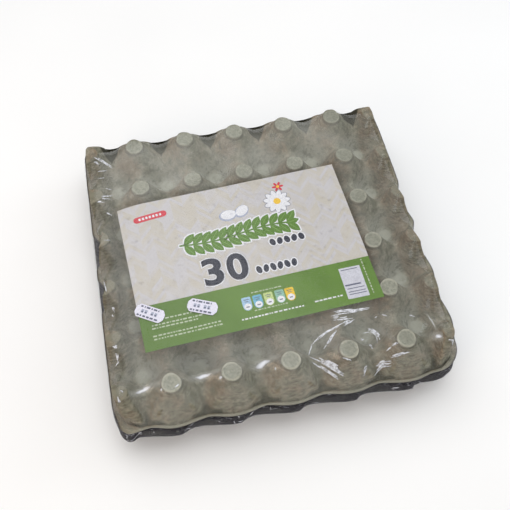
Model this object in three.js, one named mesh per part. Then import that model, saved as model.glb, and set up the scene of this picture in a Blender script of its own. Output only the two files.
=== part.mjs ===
// A retail pack of thirty eggs: a moulded pulp tray turned over as a lid on a second tray,
// a printed paper label lying on the lid, two price stickers, and clear shrink film.
// Millimetres, +Z up. The origin is on the surface that the pack stands on, under its middle.
// X runs along the rows of five cups and Y along the rows of six.

import * as THREE from 'three';
import { mergeVertices } from 'three/addons/utils/BufferGeometryUtils.js';

// Driving dimensions of the moulded tray
const pitch = 49.5; // from one cup to the next, the same both ways
const halfCells = 3; // the tray is six pitches square
const footRadius = 8; // round flat bottom of each cup
const footShoulder = 1.8; // width of the rounded step round that flat
const relief = 37; // from the cup bottoms to the flat tips of the posts
const sheetThickness = 2; // moulded pulp
const rimDrop = 29.5; // from the cup bottoms to the face of the rim
const rimThickness = 3;
const wallEdge = 2.93; // where the relief meets the rim's wall, in pitches from the middle
const cornerRounding = 0.5; // 0 leaves the relief's corners square, 1 makes them full quarter circles
const sidePocketInner = 2.69; // inner edge of the half cups along the two sides, in pitches
const sideDip = 12; // how much lower the tray lies between two half cups
const wallFoot = 0.8; // the wall leans out by this much down to the rim
const rimScallop = 2; // the rim runs in and out by this much
const rimCornerRadius = 16;
const waistInset = 12; // the meeting edge lies this far inside the rim
const waistCornerRadius = 20;

// The two trays meet tip to tip
const joint = 0.3;
const trayHeight = relief + sheetThickness;
const rimHalf = halfCells * pitch;
const packHeight = 2 * trayHeight + joint;

// Paper label, A5
const labelWidth = 208; // trimmed a little
const labelDepth = 148;
const labelThickness = 0.4;
const labelCentre = [-15.9, -14.6];
const labelTurn = 3.1; // degrees
const labelCurl = 4; // how far its far left corner hangs down
const labelCurlReach = 26;
const paperGap = 0.3;

// Price stickers
const stickerLength = 26;
const stickerWidth = 12.5;
const stickerThickness = 0.4;
const stickerNose = 2.6; // how far the pointed ends run out
const stickers = [
  { name: 'price_sticker_left', centre: [-107.7, -59.5], turn: -31 },
  { name: 'price_sticker_right', centre: [-63, -62.2], turn: -23 },
];

// Shrink film: over the label and the cup bottoms, down to the upper rim, free to the lower one, and
// in again to the ground
const filmThickness = 0.4;
const filmGap = 0.35; // from both rims
const filmEndFold = 133.4; // from the middle to where it leaves the top, in front of the end rows
const filmSideFold = 145.4; // the same, beside the half cups
const filmFoldCut = 0.8; // taken off the corners of that fold
const filmFoldIn = 4; // midway between two cups the fold lies further in by this much
const filmFoldDip = 6; // and lower by this much
const filmDimple = 1.5; // drawn down by this much over the posts that the label leaves open
const filmSag = 1.2; // drawn in this much between two bulges of the rim
const filmLift = 0.5; // from the face of a rim to where the film reaches it
const filmFoot = 0.6; // from the ground to its lower edge
const filmCornerRadius = 15;
const filmSteps = 4; // along one pitch

// Levels, from the surface that the pack stands on
const labelLevel = packHeight + paperGap;
const filmLevel = labelLevel + labelThickness + paperGap;
const stickerLevel = filmLevel + filmThickness + paperGap;
const filmRimLevel = packHeight - rimDrop + filmLift;

// The film's last two rings, in its steps from the middle
const rimRing = halfCells * filmSteps;
const foldRing = rimRing - 1;

const fraction = (value, low, high) => Math.min(1, Math.max(0, (value - low) / (high - low)));
const mix = (a, b, t) => a + (b - a) * t;
const wave = (value) => Math.cos(2 * Math.PI * value);
const radians = (degrees) => (degrees * Math.PI) / 180;

// Depth of the tray's outer face below its cup bottoms, at a place given in pitches.
// Cups and posts alternate like the squares of a chessboard, with flats at both ends.
function reliefDepth(u, v) {
  const flat = footRadius / pitch;
  const swell = (wave(u) - wave(v)) / 2;
  const flatLevel = wave(flat * Math.SQRT1_2); // the swell at the edge of a flat
  let depth = (relief / 2) * (1 - THREE.MathUtils.clamp(swell / flatLevel, -1, 1));
  const outer = halfCells - 0.5;
  const side = fraction(Math.abs(u), outer, halfCells - flat);
  const dip = (sideDip * THREE.MathUtils.smoothstep(side, 0, 1) * (1 + wave(v))) / 2;
  depth = Math.min(relief, depth + dip);
  const end = fraction(Math.abs(v), outer + flat, halfCells);
  return mix(depth, rimDrop, end ** 3);
}

// The outermost half pitch is squeezed a little inwards, to leave room for the rim
function squeezeSide(u) {
  const flatEdge = halfCells - footRadius / pitch;
  const outer = halfCells - 0.5;
  const size = Math.abs(u);
  if (size <= outer) return u;
  const slope = mix(outer, sidePocketInner, fraction(size, outer, flatEdge));
  const pocket = mix(sidePocketInner, wallEdge, fraction(size, flatEdge, halfCells));
  return Math.sign(u) * (size <= flatEdge ? slope : pocket);
}

function squeezeEnd(v) {
  const flatEdge = halfCells - 0.5 + footRadius / pitch;
  const size = Math.abs(v);
  if (size <= flatEdge) return v;
  return Math.sign(v) * mix(flatEdge, wallEdge, fraction(size, flatEdge, halfCells));
}

// Draws one coordinate in, at a corner, by how far the other one has gone towards its wall
function roundedCorner(along, across) {
  const start = halfCells - 0.5;
  if (Math.abs(along) <= start) return along;
  const share = fraction(Math.abs(across), start, wallEdge);
  const kept = Math.sqrt(1 - cornerRounding * share * share);
  return Math.sign(along) * (start + (Math.abs(along) - start) * kept);
}

// The point of a rounded square that belongs to the place (x, y) on a square from -1 to 1
function onRoundedSquare(x, y, half, radius) {
  const core = half - radius;
  const cx = THREE.MathUtils.clamp(x * half, -core, core);
  const cy = THREE.MathUtils.clamp(y * half, -core, core);
  const away = new THREE.Vector2(x * half - cx, y * half - cy);
  if (away.x !== 0 && away.y !== 0) away.setLength(radius);
  return away.add(new THREE.Vector2(cx, cy));
}

// A wave along each side of a square: 1 beside a cup or a post of the outer rows, -1 in between
const sideWave = (x, y) => wave(Math.min(Math.abs(x), Math.abs(y)) * halfCells);

// A triangle soup that becomes one closed body when its shared corners are merged
class Soup {
  constructor() {
    this.values = [];
  }

  triangle(a, b, c) {
    this.values.push(a.x, a.y, a.z, b.x, b.y, b.z, c.x, c.y, c.z);
  }

  quad(a, b, c, d) {
    this.triangle(a, b, c);
    this.triangle(a, c, d);
  }

  // Two rows of points of the same length, the second to the left of the first
  band(first, second, closed) {
    const last = closed ? first.length : first.length - 1;
    for (let i = 0; i < last; i += 1) {
      const next = (i + 1) % first.length;
      this.quad(first[i], first[next], second[next], second[i]);
    }
  }

  fan(centre, row, closed) {
    const last = closed ? row.length : row.length - 1;
    for (let i = 0; i < last; i += 1) {
      this.triangle(centre, row[i], row[(i + 1) % row.length]);
    }
  }

  geometry() {
    const geometry = new THREE.BufferGeometry();
    geometry.setAttribute('position', new THREE.Float32BufferAttribute(this.values, 3));
    const merged = mergeVertices(geometry, 1e-3);
    merged.computeVertexNormals();
    return merged;
  }
}

// One cup or one post: rings from its centre out to the diamond that it shares with its neighbours
function addCell(soup, surface, u, v, facets, rings) {
  const onSide = Math.abs(u) === halfCells;
  const onEnd = Math.abs(v) === halfCells;
  let start = 0;
  if (onSide) start = u > 0 ? facets / 4 : -facets / 4;
  if (onEnd) start = v > 0 ? facets / 2 : 0;
  const half = onSide || onEnd;
  const count = half ? facets / 2 + 1 : facets;
  const rows = rings.map((ring) => {
    const row = [];
    for (let i = 0; i < count; i += 1) {
      const angle = (2 * Math.PI * (start + i)) / facets;
      const diamond = 0.5 / (Math.abs(Math.cos(angle)) + Math.abs(Math.sin(angle)));
      const radius = mix(ring.radius / pitch, diamond, ring.outward);
      row.push(surface(u + radius * Math.cos(angle), v + radius * Math.sin(angle)));
    }
    return row;
  });
  soup.fan(surface(u, v), rows[0], !half);
  for (let i = 1; i < rows.length; i += 1) soup.band(rows[i], rows[i - 1], !half);
}

// The places along one side of the tray, in pitches, where a cell's rings reach its border
function borderSteps(facets, rings, offset) {
  const radii = rings.map((ring) => mix(ring.radius / pitch, 0.5, ring.outward));
  const steps = [];
  for (let cell = -halfCells; cell < halfCells; cell += 1) {
    const middle = cell + offset;
    [-1, 1].forEach((side) => {
      const reach = side < 0 ? [...radii].reverse() : radii;
      if (side > 0) steps.push(middle);
      reach.forEach((radius) => steps.push(middle + side * radius));
    });
  }
  return steps;
}

// The solid of one tray with its cup bottoms up, its flat meeting face down
function trayGeometry(facets, cupRings, postRings) {
  const soup = new Soup();
  const top = trayHeight;
  const surface = (u, v) => {
    const x = squeezeSide(u);
    const y = squeezeEnd(v);
    const depth = reliefDepth(u, v);
    return new THREE.Vector3(roundedCorner(x, y) * pitch, roundedCorner(y, x) * pitch, top - depth);
  };

  for (let column = -halfCells; column <= halfCells; column += 1) {
    for (let row = -halfCells; row < halfCells; row += 1) {
      addCell(soup, surface, column, row + 0.5, facets, cupRings);
      addCell(soup, surface, row + 0.5, column, facets, postRings);
    }
  }

  // The border of the relief, anticlockwise: right side, far end, left side, near end
  const alongSide = borderSteps(facets, cupRings, 0.5);
  const alongEnd = borderSteps(facets, postRings, 0.5);
  const border = [];
  const addBorder = (steps, place) => {
    const unique = steps.filter((step, i) => i === 0 || step - steps[i - 1] > 1e-6);
    unique.slice(0, -1).forEach((step) => border.push(place(step)));
  };
  addBorder(alongSide, (step) => [halfCells, step]);
  addBorder(alongEnd, (step) => [-step, halfCells]);
  addBorder(alongSide, (step) => [-halfCells, -step]);
  addBorder(alongEnd, (step) => [step, -halfCells]);

  const rimLevel = top - rimDrop;
  const ring = (make) => border.map(([u, v]) => make(u, v));
  const lip = ring((u, v) => surface(u, v));
  const foot = ring((u, v) => {
    const at = surface(u, v);
    const grow = 1 + wallFoot / (wallEdge * pitch);
    return new THREE.Vector3(at.x * grow, at.y * grow, rimLevel);
  });
  const rim = (level) => ring((u, v) => {
    const x = u / halfCells;
    const y = v / halfCells;
    const at = onRoundedSquare(x, y, rimHalf + rimScallop * sideWave(x, y), rimCornerRadius);
    return new THREE.Vector3(at.x, at.y, level);
  });
  const waist = (level) => ring((u, v) => {
    const at = onRoundedSquare(u / halfCells, v / halfCells, rimHalf - waistInset, waistCornerRadius);
    return new THREE.Vector3(at.x, at.y, level);
  });

  const skins = [lip, foot, rim(rimLevel), rim(rimLevel - rimThickness),
    waist(rimLevel - rimThickness - 1), waist(0)];
  for (let i = 1; i < skins.length; i += 1) soup.band(skins[i], skins[i - 1], true);
  soup.fan(new THREE.Vector3(0, 0, 0), [...skins[skins.length - 1]].reverse(), true);
  return soup.geometry();
}

// The same body upside down, its faces still pointing out
function turnedOver(geometry) {
  const turned = geometry.clone();
  turned.rotateX(Math.PI);
  return turned;
}

// The border of a grid of cells, anticlockwise from its first corner
function gridBorder(columns, rows) {
  const border = [];
  for (let i = 0; i < columns; i += 1) border.push([i, 0]);
  for (let j = 0; j < rows; j += 1) border.push([columns, j]);
  for (let i = columns; i > 0; i -= 1) border.push([i, rows]);
  for (let j = rows; j > 0; j -= 1) border.push([0, j]);
  return border;
}

// A thin sheet over a grid of points given by a function of two numbers from 0 to 1
function sheetGeometry(columns, rows, thickness, place) {
  const soup = new Soup();
  const point = (i, j, lift) => {
    const at = place(i / columns, j / rows);
    return new THREE.Vector3(at.x, at.y, at.z + lift);
  };
  const edge = gridBorder(columns, rows);
  for (let i = 0; i < columns; i += 1) {
    for (let j = 0; j < rows; j += 1) {
      const corners = [[i, j], [i + 1, j], [i + 1, j + 1], [i, j + 1]];
      const upper = corners.map(([a, b]) => point(a, b, thickness));
      const lower = corners.map(([a, b]) => point(a, b, 0));
      soup.quad(upper[0], upper[1], upper[2], upper[3]);
      soup.triangle(lower[0], lower[2], lower[1]);
      soup.triangle(lower[0], lower[3], lower[2]);
    }
  }
  const lower = edge.map(([i, j]) => point(i, j, 0));
  const upper = edge.map(([i, j]) => point(i, j, thickness));
  soup.band(lower, upper, true);
  return soup.geometry();
}

// The label lies flat on the cup bottoms, and its far left corner hangs down
function labelGeometry() {
  return sheetGeometry(14, 10, labelThickness, (s, t) => {
    const x = (s - 0.5) * labelWidth;
    const y = (t - 0.5) * labelDepth;
    const toCorner = Math.hypot(labelWidth / 2 - Math.abs(x), labelDepth / 2 - Math.abs(y));
    const curl = x < 0 && y > 0 ? 1 - fraction(toCorner, 0, labelCurlReach) : 0;
    return new THREE.Vector3(x, y, -labelCurl * curl * curl);
  });
}

// A price sticker has shallow pointed ends with rounded corners
function stickerGeometry() {
  const half = new THREE.Vector2(stickerLength / 2, stickerWidth / 2);
  const shoulder = half.x - stickerNose;
  const outline = new THREE.Shape();
  outline.moveTo(-shoulder, -half.y);
  outline.lineTo(shoulder, -half.y);
  outline.quadraticCurveTo(half.x, -half.y, half.x, 0);
  outline.quadraticCurveTo(half.x, half.y, shoulder, half.y);
  outline.lineTo(-shoulder, half.y);
  outline.quadraticCurveTo(-half.x, half.y, -half.x, 0);
  outline.quadraticCurveTo(-half.x, -half.y, -shoulder, -half.y);
  const settings = { depth: stickerThickness, bevelEnabled: false, curveSegments: 4 };
  return new THREE.ExtrudeGeometry(outline, settings);
}

// Whether a place lies on the label or within one of the film's steps of it
function nearLabel(x, y) {
  const middle = new THREE.Vector2(...labelCentre);
  const at = new THREE.Vector2(x, y).rotateAround(middle, -radians(labelTurn)).sub(middle);
  const step = pitch / filmSteps;
  return Math.abs(at.x) < labelWidth / 2 + step && Math.abs(at.y) < labelDepth / 2 + step;
}

// A point of the film's inner face, or of its outer one when it has grown by the thickness. The place
// is given in steps from the middle. The last ring lies on the rim, and the one before it is the fold.
function filmPoint(i, j, grow) {
  const u = i / filmSteps;
  const v = j / filmSteps;
  const ring = Math.max(Math.abs(i), Math.abs(j));
  if (ring === rimRing) {
    const drawnIn = (filmSag * (1 - sideWave(i / ring, j / ring))) / 2;
    const reach = rimHalf + rimScallop + filmGap + grow - drawnIn;
    const onRim = onRoundedSquare(i / ring, j / ring, reach, filmCornerRadius);
    return new THREE.Vector3(onRim.x, onRim.y, filmRimLevel + grow);
  }
  const at = new THREE.Vector3(u * pitch, v * pitch, filmLevel + grow);
  if (ring < foldRing) {
    const overPost = Math.max(0, (wave(v) - wave(u)) / 2);
    if (!nearLabel(at.x, at.y)) at.z -= filmDimple * overPost;
    return at;
  }
  const onSide = Math.abs(i) === foldRing;
  const onEnd = Math.abs(j) === foldRing;
  const onCorner = onSide && onEnd;
  const between = onCorner ? 0 : Math.max(0, onEnd ? -wave(u) : wave(v));
  const inward = onCorner ? filmFoldCut : filmFoldIn * between;
  if (onSide) at.x = Math.sign(i) * (filmSideFold + grow - inward);
  if (onEnd) at.y = Math.sign(j) * (filmEndFold + grow - inward);
  at.z -= filmFoldDip * between;
  return at;
}

// The same point on the lower half, where the film ends at its fold, just clear of the ground
function filmPointBelow(i, j, grow) {
  const at = filmPoint(i, j, grow);
  at.z = packHeight - at.z;
  const onFold = Math.max(Math.abs(i), Math.abs(j)) === foldRing;
  if (onFold) at.z += filmLevel - packHeight + filmFoot;
  return at;
}

// The film: a skin over the lid and round the sides of both trays, open underneath
function filmGeometry() {
  const soup = new Soup();
  const inner = ([i, j]) => filmPoint(i, j, 0);
  const outer = ([i, j]) => filmPoint(i, j, filmThickness);
  const innerBelow = ([i, j]) => filmPointBelow(i, j, 0);
  const outerBelow = ([i, j]) => filmPointBelow(i, j, filmThickness);
  const addFace = (cell, place) => soup.quad(...cell.map(place));
  for (let i = -rimRing; i < rimRing; i += 1) {
    for (let j = -rimRing; j < rimRing; j += 1) {
      const cell = [[i, j], [i + 1, j], [i + 1, j + 1], [i, j + 1]];
      // stretched as it is, each cell folds along the higher of its diagonals
      const levels = cell.map((place) => inner(place).z);
      if (levels[0] + levels[2] < levels[1] + levels[3]) cell.push(cell.shift());
      const turned = [cell[0], cell[3], cell[2], cell[1]];
      addFace(cell, outer);
      addFace(turned, inner);
      const onWall = cell.flat().some((step) => Math.abs(step) === rimRing);
      if (onWall) {
        addFace(turned, outerBelow);
        addFace(cell, innerBelow);
      }
    }
  }
  const border = (ring) => gridBorder(2 * ring, 2 * ring).map(([i, j]) => [i - ring, j - ring]);
  const rim = border(rimRing);
  const foot = border(foldRing);
  soup.band(rim.map(outerBelow), rim.map(outer), true);
  soup.band(rim.map(inner), rim.map(innerBelow), true);
  soup.band(foot.map(innerBelow), foot.map(outerBelow), true);
  return soup.geometry();
}

const material = (color, roughness, opacity = 1) => new THREE.MeshStandardMaterial({
  color, roughness, metalness: 0, opacity, transparent: opacity < 1,
});
const greyPulp = material(0x8f8c7c, 0.95);
const darkPulp = material(0x23232a, 0.85);
const paper = material(0xeeebe2, 0.6);
const stickerPaper = material(0xe4e2f0, 0.6);
const clearFilm = material(0xd8dce0, 0.1, 0.35);

const pack = new THREE.Group();

function addPiece(name, geometry, finish, x = 0, y = 0, z = 0, turn = 0) {
  const piece = new THREE.Mesh(geometry, finish);
  piece.name = name;
  piece.position.set(x, y, z);
  piece.rotation.z = radians(turn);
  pack.add(piece);
}

// Rings of one cup and one post: a fixed radius, then a share of the way out to the diamond
const foot = { radius: footRadius, outward: 0 };
const shoulder = { radius: footRadius + footShoulder, outward: 0 };
const flank = { radius: footRadius, outward: 0.5 };
const border = { radius: footRadius, outward: 1 };

const lid = trayGeometry(12, [foot, shoulder, flank, border], [foot, border]);
const base = turnedOver(trayGeometry(12, [foot, border], [foot, border]));
addPiece('base_tray', base, darkPulp, 0, 0, trayHeight);
addPiece('lid_tray', lid, greyPulp, 0, 0, trayHeight + joint);
addPiece('label', labelGeometry(), paper, ...labelCentre, labelLevel, labelTurn);
stickers.forEach(({ name, centre, turn }) => {
  addPiece(name, stickerGeometry(), stickerPaper, ...centre, stickerLevel, turn);
});
addPiece('film_band', filmGeometry(), clearFilm);

export default pack;
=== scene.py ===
import math
import random

import bmesh
import bpy
from mathutils import Matrix, Vector, noise


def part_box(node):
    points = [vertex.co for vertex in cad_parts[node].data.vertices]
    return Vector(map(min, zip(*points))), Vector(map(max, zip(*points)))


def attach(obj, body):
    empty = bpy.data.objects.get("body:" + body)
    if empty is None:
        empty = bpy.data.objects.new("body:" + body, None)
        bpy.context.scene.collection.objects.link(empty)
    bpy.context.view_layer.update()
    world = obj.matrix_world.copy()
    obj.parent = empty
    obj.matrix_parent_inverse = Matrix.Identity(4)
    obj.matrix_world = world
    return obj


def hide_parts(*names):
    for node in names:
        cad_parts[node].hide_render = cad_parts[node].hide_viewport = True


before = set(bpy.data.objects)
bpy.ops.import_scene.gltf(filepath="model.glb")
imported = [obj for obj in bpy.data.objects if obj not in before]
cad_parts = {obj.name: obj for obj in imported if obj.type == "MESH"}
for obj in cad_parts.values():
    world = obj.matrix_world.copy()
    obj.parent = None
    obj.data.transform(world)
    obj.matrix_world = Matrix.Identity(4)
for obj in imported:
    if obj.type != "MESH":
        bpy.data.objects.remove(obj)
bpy.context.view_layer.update()  # the two trays, the label, the stickers and the film band
mm = 0.001

lidLow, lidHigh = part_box("lid_tray")
lidTop = lidHigh.z  # and so the height of both trays together
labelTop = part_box("label")[1].z
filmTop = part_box("film_band")[1].z
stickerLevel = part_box("price_sticker_left")[0].z

# Sizes that the trays and the film share
mould = {
    "halfCells": 3,  # six pitches square
    "rimScallop": 2 * mm,  # the rim runs in and out by this much
    "footRadius": 8 * mm,  # flat bottom of a cup
    "relief": 37 * mm,  # from the cup bottoms to the post tips
    "rimDrop": 29.5 * mm,  # from the cup bottoms to the face of the rim
    "rimThickness": 3 * mm,
    "wallEdge": 2.93,  # where the relief meets the rim's wall, in pitches
    "sidePocket": 2.69,  # inner edge of the half cups along the sides, in pitches
    "sideDip": 8.8 * mm,  # the tray lies lower between two half cups
    "cornerRounding": 0.35,
    "rimCornerRadius": 16 * mm,
    "waistInset": 12 * mm,
    "waistDrop": 1 * mm,  # below the underside of the rim
    "waistCornerRadius": 20 * mm,
    "nearLeftSharpness": 0.6,  # that corner is rounded less
}
# The film pulls the pack a little out of square: how far each side and corner lies outside its true place
wrapPull = {
    "left": 1.6 * mm,
    "right": 3.2 * mm,
    "near": 0.4 * mm,
    "far": 3.2 * mm,
    "reach": 32 * mm,  # how far in from a side it is felt
    "rightCups": 6 * mm,  # the half cups on the right are pressed in by this much
    "rightCupsDown": 2.5 * mm,
    "corners": {(1, -1): (-7 * mm, 6 * mm), (-1, -1): (4.5 * mm, 1.5 * mm),
                (-1, 1): (1 * mm, 7 * mm), (1, 1): (-1 * mm, 1.5 * mm)},
    "cornerReach": 28 * mm,
    "dentReach": 14 * mm,
    # dents in a long side: the side, how far along it, half its length, its depth
    "dents": [(1, 36 * mm, 20 * mm, 4.5 * mm), (1, -13 * mm, 20 * mm, 5 * mm)],
    "lidDents": [(-1, 30 * mm, 20 * mm, 8 * mm), (-1, -18 * mm, 18 * mm, 8 * mm)],
    # the half cup at the far left corner is pressed down: its middle, reach and depth
    "pressed": ((-148 * mm, 126 * mm), 24 * mm, 3.5 * mm),
}
rimHalf = lidHigh.x - mould["rimScallop"]
pitch = rimHalf / mould["halfCells"]


def share(value, low, high):
    return min(1.0, max(0.0, (value - low) / (high - low)))


def smoothShare(value, low, high):
    s = share(value, low, high)
    return s * s * (3 - 2 * s)


def mix(a, b, t):
    return a + (b - a) * t


def hill(value, foot, top, topEnd, footEnd):
    return smoothShare(value, foot, top) * (1 - smoothShare(value, topEnd, footEnd))


def wave(value):
    return math.cos(2 * math.pi * value)


def softMin(a, b, reach):
    # the lower of two levels, with a bend of that reach where they cross
    h = max(0.0, reach - abs(a - b)) / max(reach, 1e-9)
    return min(a, b) - h * h * reach / 4


def unevenness(x, y, size, seed=0.0):
    return noise.noise(Vector((x / size, y / size, seed)))


def deselectAll():
    if bpy.context.object and bpy.context.object.mode != "OBJECT":
        bpy.ops.object.mode_set(mode="OBJECT")
    bpy.ops.object.select_all(action="DESELECT")


def makeActive(piece):
    deselectAll()
    piece.select_set(True)
    bpy.context.view_layer.objects.active = piece


def joinPieces(pieces, name):
    deselectAll()
    for piece in pieces:
        piece.select_set(True)
    bpy.context.view_layer.objects.active = pieces[0]
    if len(pieces) > 1:
        bpy.ops.object.join()
    joined = bpy.context.object
    joined.name = name
    return joined


def applyModifiers(piece):
    makeActive(piece)
    for modifier in list(piece.modifiers):
        bpy.ops.object.modifier_apply(modifier=modifier.name)


def smoothByAngle(piece, degrees):
    makeActive(piece)
    bpy.ops.object.shade_smooth_by_angle(angle=math.radians(degrees))


def closeUp(piece):
    # merges what meets and turns all faces outwards
    makeActive(piece)
    bpy.ops.object.mode_set(mode="EDIT")
    bpy.ops.mesh.select_all(action="SELECT")
    bpy.ops.mesh.remove_doubles(threshold=0.01 * mm)
    bpy.ops.mesh.normals_make_consistent(inside=False)
    bpy.ops.object.mode_set(mode="OBJECT")


def newGrid(across, along, size=1):
    deselectAll()
    bpy.ops.mesh.primitive_grid_add(x_subdivisions=across, y_subdivisions=along, size=size)
    return bpy.context.object


def finishPiece(piece, material, slot, *nodes):
    piece.data.materials.append(material)
    if nodes:
        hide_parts(*nodes)
    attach(piece, "root")


trayLook = {
    "facets": 32,
    "cupRings": [3.4, 6.4, 7.3, 7.8, 8.15, 8.5, 9.3, 10.6],  # millimetres
    "cupShares": [0.14, 0.28, 0.42, 0.56, 0.7, 0.85, 1.0],  # of the way out to the diamond
    "postRings": [4, 8],
    "postShares": [0.12, 0.26, 0.42, 0.6, 0.8, 1.0],
    "neckDrop": 1.1 * mm,  # step round each cup bottom
    "beadHeight": 0.28 * mm,  # raised edge of each cup bottom
    "dish": 0.25 * mm,  # a cup bottom is this much lower in its middle
    "beadPlace": (6.2, 7.4, 7.7, 8.3),  # where it rises and falls, in millimetres from the middle
    "neckPlace": (7.9, 8.7, 9.5, 20),
    "dishRadius": 7,
    "unround": 0.12,
    "unroundSize": 8 * mm,
    "unroundReach": (9 * mm, 16 * mm),  # from the middle of a cup bottom, where it fades
    "lumps": 0.45 * mm,
    "lumpSize": 17 * mm,
    "lumpStart": 6 * mm,  # from the edge of a cup bottom, where they have their full height
    "rimWander": 0.5 * mm,
    "bellDepth": 32 * mm,  # of the hollows between the bells of the end rows, at the rim
    "bellBlend": 12 * mm,
    "hollowBend": 5 * mm,
    "bellSquareness": 6,  # a bell is round at its top, and nearly square at the rim
    "baseExtra": 1.3 * mm,  # the lower tray's rim stands out this much further
    "lipReach": 3 * mm,  # in front of a bell the wall stands this much further out
    "wallFoot": 0.8 * mm,
    # the border's rings: how far inside the rim's outline, and how far below its face
    "rimRings": [(1.5, 0), (0.35, 0.25), (0, 0.9), (0, 2.1), (0.25, 2.7), (1, 3)],
    "footRings": [(0.55, -1.4), (1.0, -0.15)],
    "baseLift": 0.02 * mm,  # the lower tray stands this far above the ground
}


def makeCell(name, rings, shares):
    # one cup or post seen from above: a flat circle, grown ring by ring out to a diamond
    facets = trayLook["facets"]
    deselectAll()
    bpy.ops.mesh.primitive_circle_add(vertices=facets, radius=rings[0] * mm, fill_type="TRIFAN")
    cell = bpy.context.object
    cell.name = name
    bpy.ops.object.mode_set(mode="EDIT")
    bpy.ops.mesh.select_all(action="DESELECT")
    bpy.ops.mesh.select_mode(type="EDGE")
    bpy.ops.mesh.select_non_manifold()
    last = rings[0]
    for radius in rings[1:]:
        bpy.ops.mesh.extrude_region_move()
        bpy.ops.transform.resize(value=(radius / last, radius / last, 1))
        last = radius
    for outward in shares:
        bpy.ops.mesh.extrude_region_move()
        edit = bmesh.from_edit_mesh(cell.data)
        for vertex in edit.verts:
            if vertex.select:
                x, y = vertex.co.xy.normalized()
                diamond = pitch / 2 / (abs(x) + abs(y))
                reach = mix(last * mm, diamond, outward)
                vertex.co.xy = (x * reach, y * reach)
        bmesh.update_edit_mesh(cell.data)
    bpy.ops.object.mode_set(mode="OBJECT")
    return cell


def copyTo(piece, x, y):
    copy = piece.copy()
    copy.data = piece.data.copy()
    bpy.context.collection.objects.link(copy)
    copy.location = (x, y, 0)
    return copy


def makeLattice(name):
    # cups and posts alternate like the squares of a chessboard
    cup = makeCell("cup", trayLook["cupRings"], trayLook["cupShares"])
    post = makeCell("post", trayLook["postRings"], trayLook["postShares"])
    half = mould["halfCells"]
    cells = []
    for line in range(-half, half + 1):
        for between in range(-half, half):
            cells.append(copyTo(cup, line * pitch, (between + 0.5) * pitch))
            cells.append(copyTo(post, (between + 0.5) * pitch, line * pitch))
    for model in (cup, post):
        bpy.data.objects.remove(model)
    lattice = joinPieces(cells, name)
    bpy.ops.object.transform_apply(location=True, rotation=True, scale=True)
    # the outer cups of the sides and the outer posts of the ends are halves
    bpy.ops.object.mode_set(mode="EDIT")
    bpy.ops.mesh.select_all(action="SELECT")
    bpy.ops.mesh.remove_doubles(threshold=0.05 * mm)
    edit = bmesh.from_edit_mesh(lattice.data)
    for vertex in edit.verts:
        vertex.select = max(abs(vertex.co.x), abs(vertex.co.y)) > rimHalf + 0.05 * mm
    edit.select_flush_mode()
    bmesh.update_edit_mesh(lattice.data)
    bpy.ops.mesh.delete(type="VERT")
    bpy.ops.object.mode_set(mode="OBJECT")
    return lattice


def extrudeBorder(lattice, count):
    # rings round the edge, each tagged with its number; the last one is closed to a point
    makeActive(lattice)
    bpy.ops.object.mode_set(mode="EDIT")
    bpy.ops.mesh.select_mode(type="EDGE")
    edit = bmesh.from_edit_mesh(lattice.data)
    edit.verts.layers.int.new("ring")
    bpy.ops.mesh.select_all(action="DESELECT")
    bpy.ops.mesh.select_non_manifold()
    for number in range(1, count + 1):
        bpy.ops.mesh.extrude_region_move()
        edit = bmesh.from_edit_mesh(lattice.data)
        ring = edit.verts.layers.int["ring"]
        for vertex in edit.verts:
            if vertex.select:
                vertex[ring] = number
        bmesh.update_edit_mesh(lattice.data)
    bpy.ops.mesh.extrude_region_move()
    bpy.ops.mesh.merge(type="CENTER")
    edit = bmesh.from_edit_mesh(lattice.data)
    ring = edit.verts.layers.int["ring"]
    for vertex in edit.verts:
        if vertex.select:
            vertex[ring] = count + 1
    bmesh.update_edit_mesh(lattice.data)
    bpy.ops.object.mode_set(mode="OBJECT")


def trayDepth(u, v, y):
    # how far the tray lies below its cup bottoms, at a place in pitches that ends up at y
    relief, drop = mould["relief"], mould["rimDrop"]
    flat = mould["footRadius"] / pitch
    swell = (wave(u) - wave(v)) / 2
    flatLevel = wave(flat * math.sqrt(0.5))
    depth = relief / 2 * (1 - max(-1.0, min(1.0, swell / flatLevel)))
    outer = mould["halfCells"] - 0.5
    side = smoothShare(abs(u), outer, mould["halfCells"] - flat)
    depth = min(relief, depth + mould["sideDip"] * side * (1 + wave(v)) / 2)
    # past the middle of the end rows each cup is a bell of its own, with a shallow hollow on either side
    beyond = max(0.0, abs(y) - outer * pitch)
    across = abs(u - round(u)) * pitch
    flare = share(math.hypot(across, beyond), mould["footRadius"], pitch / 2)
    size = mix(2, trayLook["bellSquareness"], flare)
    fromCup = max(0.0, (across ** size + beyond ** size) ** (1 / size) - mould["footRadius"])
    bell = drop * (fromCup / (pitch / 2 - mould["footRadius"])) ** 0.9
    toWall = share(beyond, 0, mould["wallEdge"] * pitch - outer * pitch)
    hollow = mix(relief / 2, trayLook["bellDepth"], toWall)
    endDepth = softMin(bell, hollow, trayLook["hollowBend"])
    depth = mix(depth, endDepth, smoothShare(beyond, 0, trayLook["bellBlend"]))
    # the raised edge, the dish and the neck of the nearest cup bottom
    away = math.hypot(u - round(u), v - 0.5 - round(v - 0.5)) * pitch / mm
    bead = trayLook["beadHeight"] * hill(away, *trayLook["beadPlace"])
    neck = trayLook["neckDrop"] * hill(away, *trayLook["neckPlace"])
    depth += neck - bead
    if away < trayLook["dishRadius"]:
        depth += trayLook["dish"] * (1 - (away / trayLook["dishRadius"]) ** 2)
    end = share(abs(v), outer + flat, mould["halfCells"])
    return mix(depth, drop, end ** 6)


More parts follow.
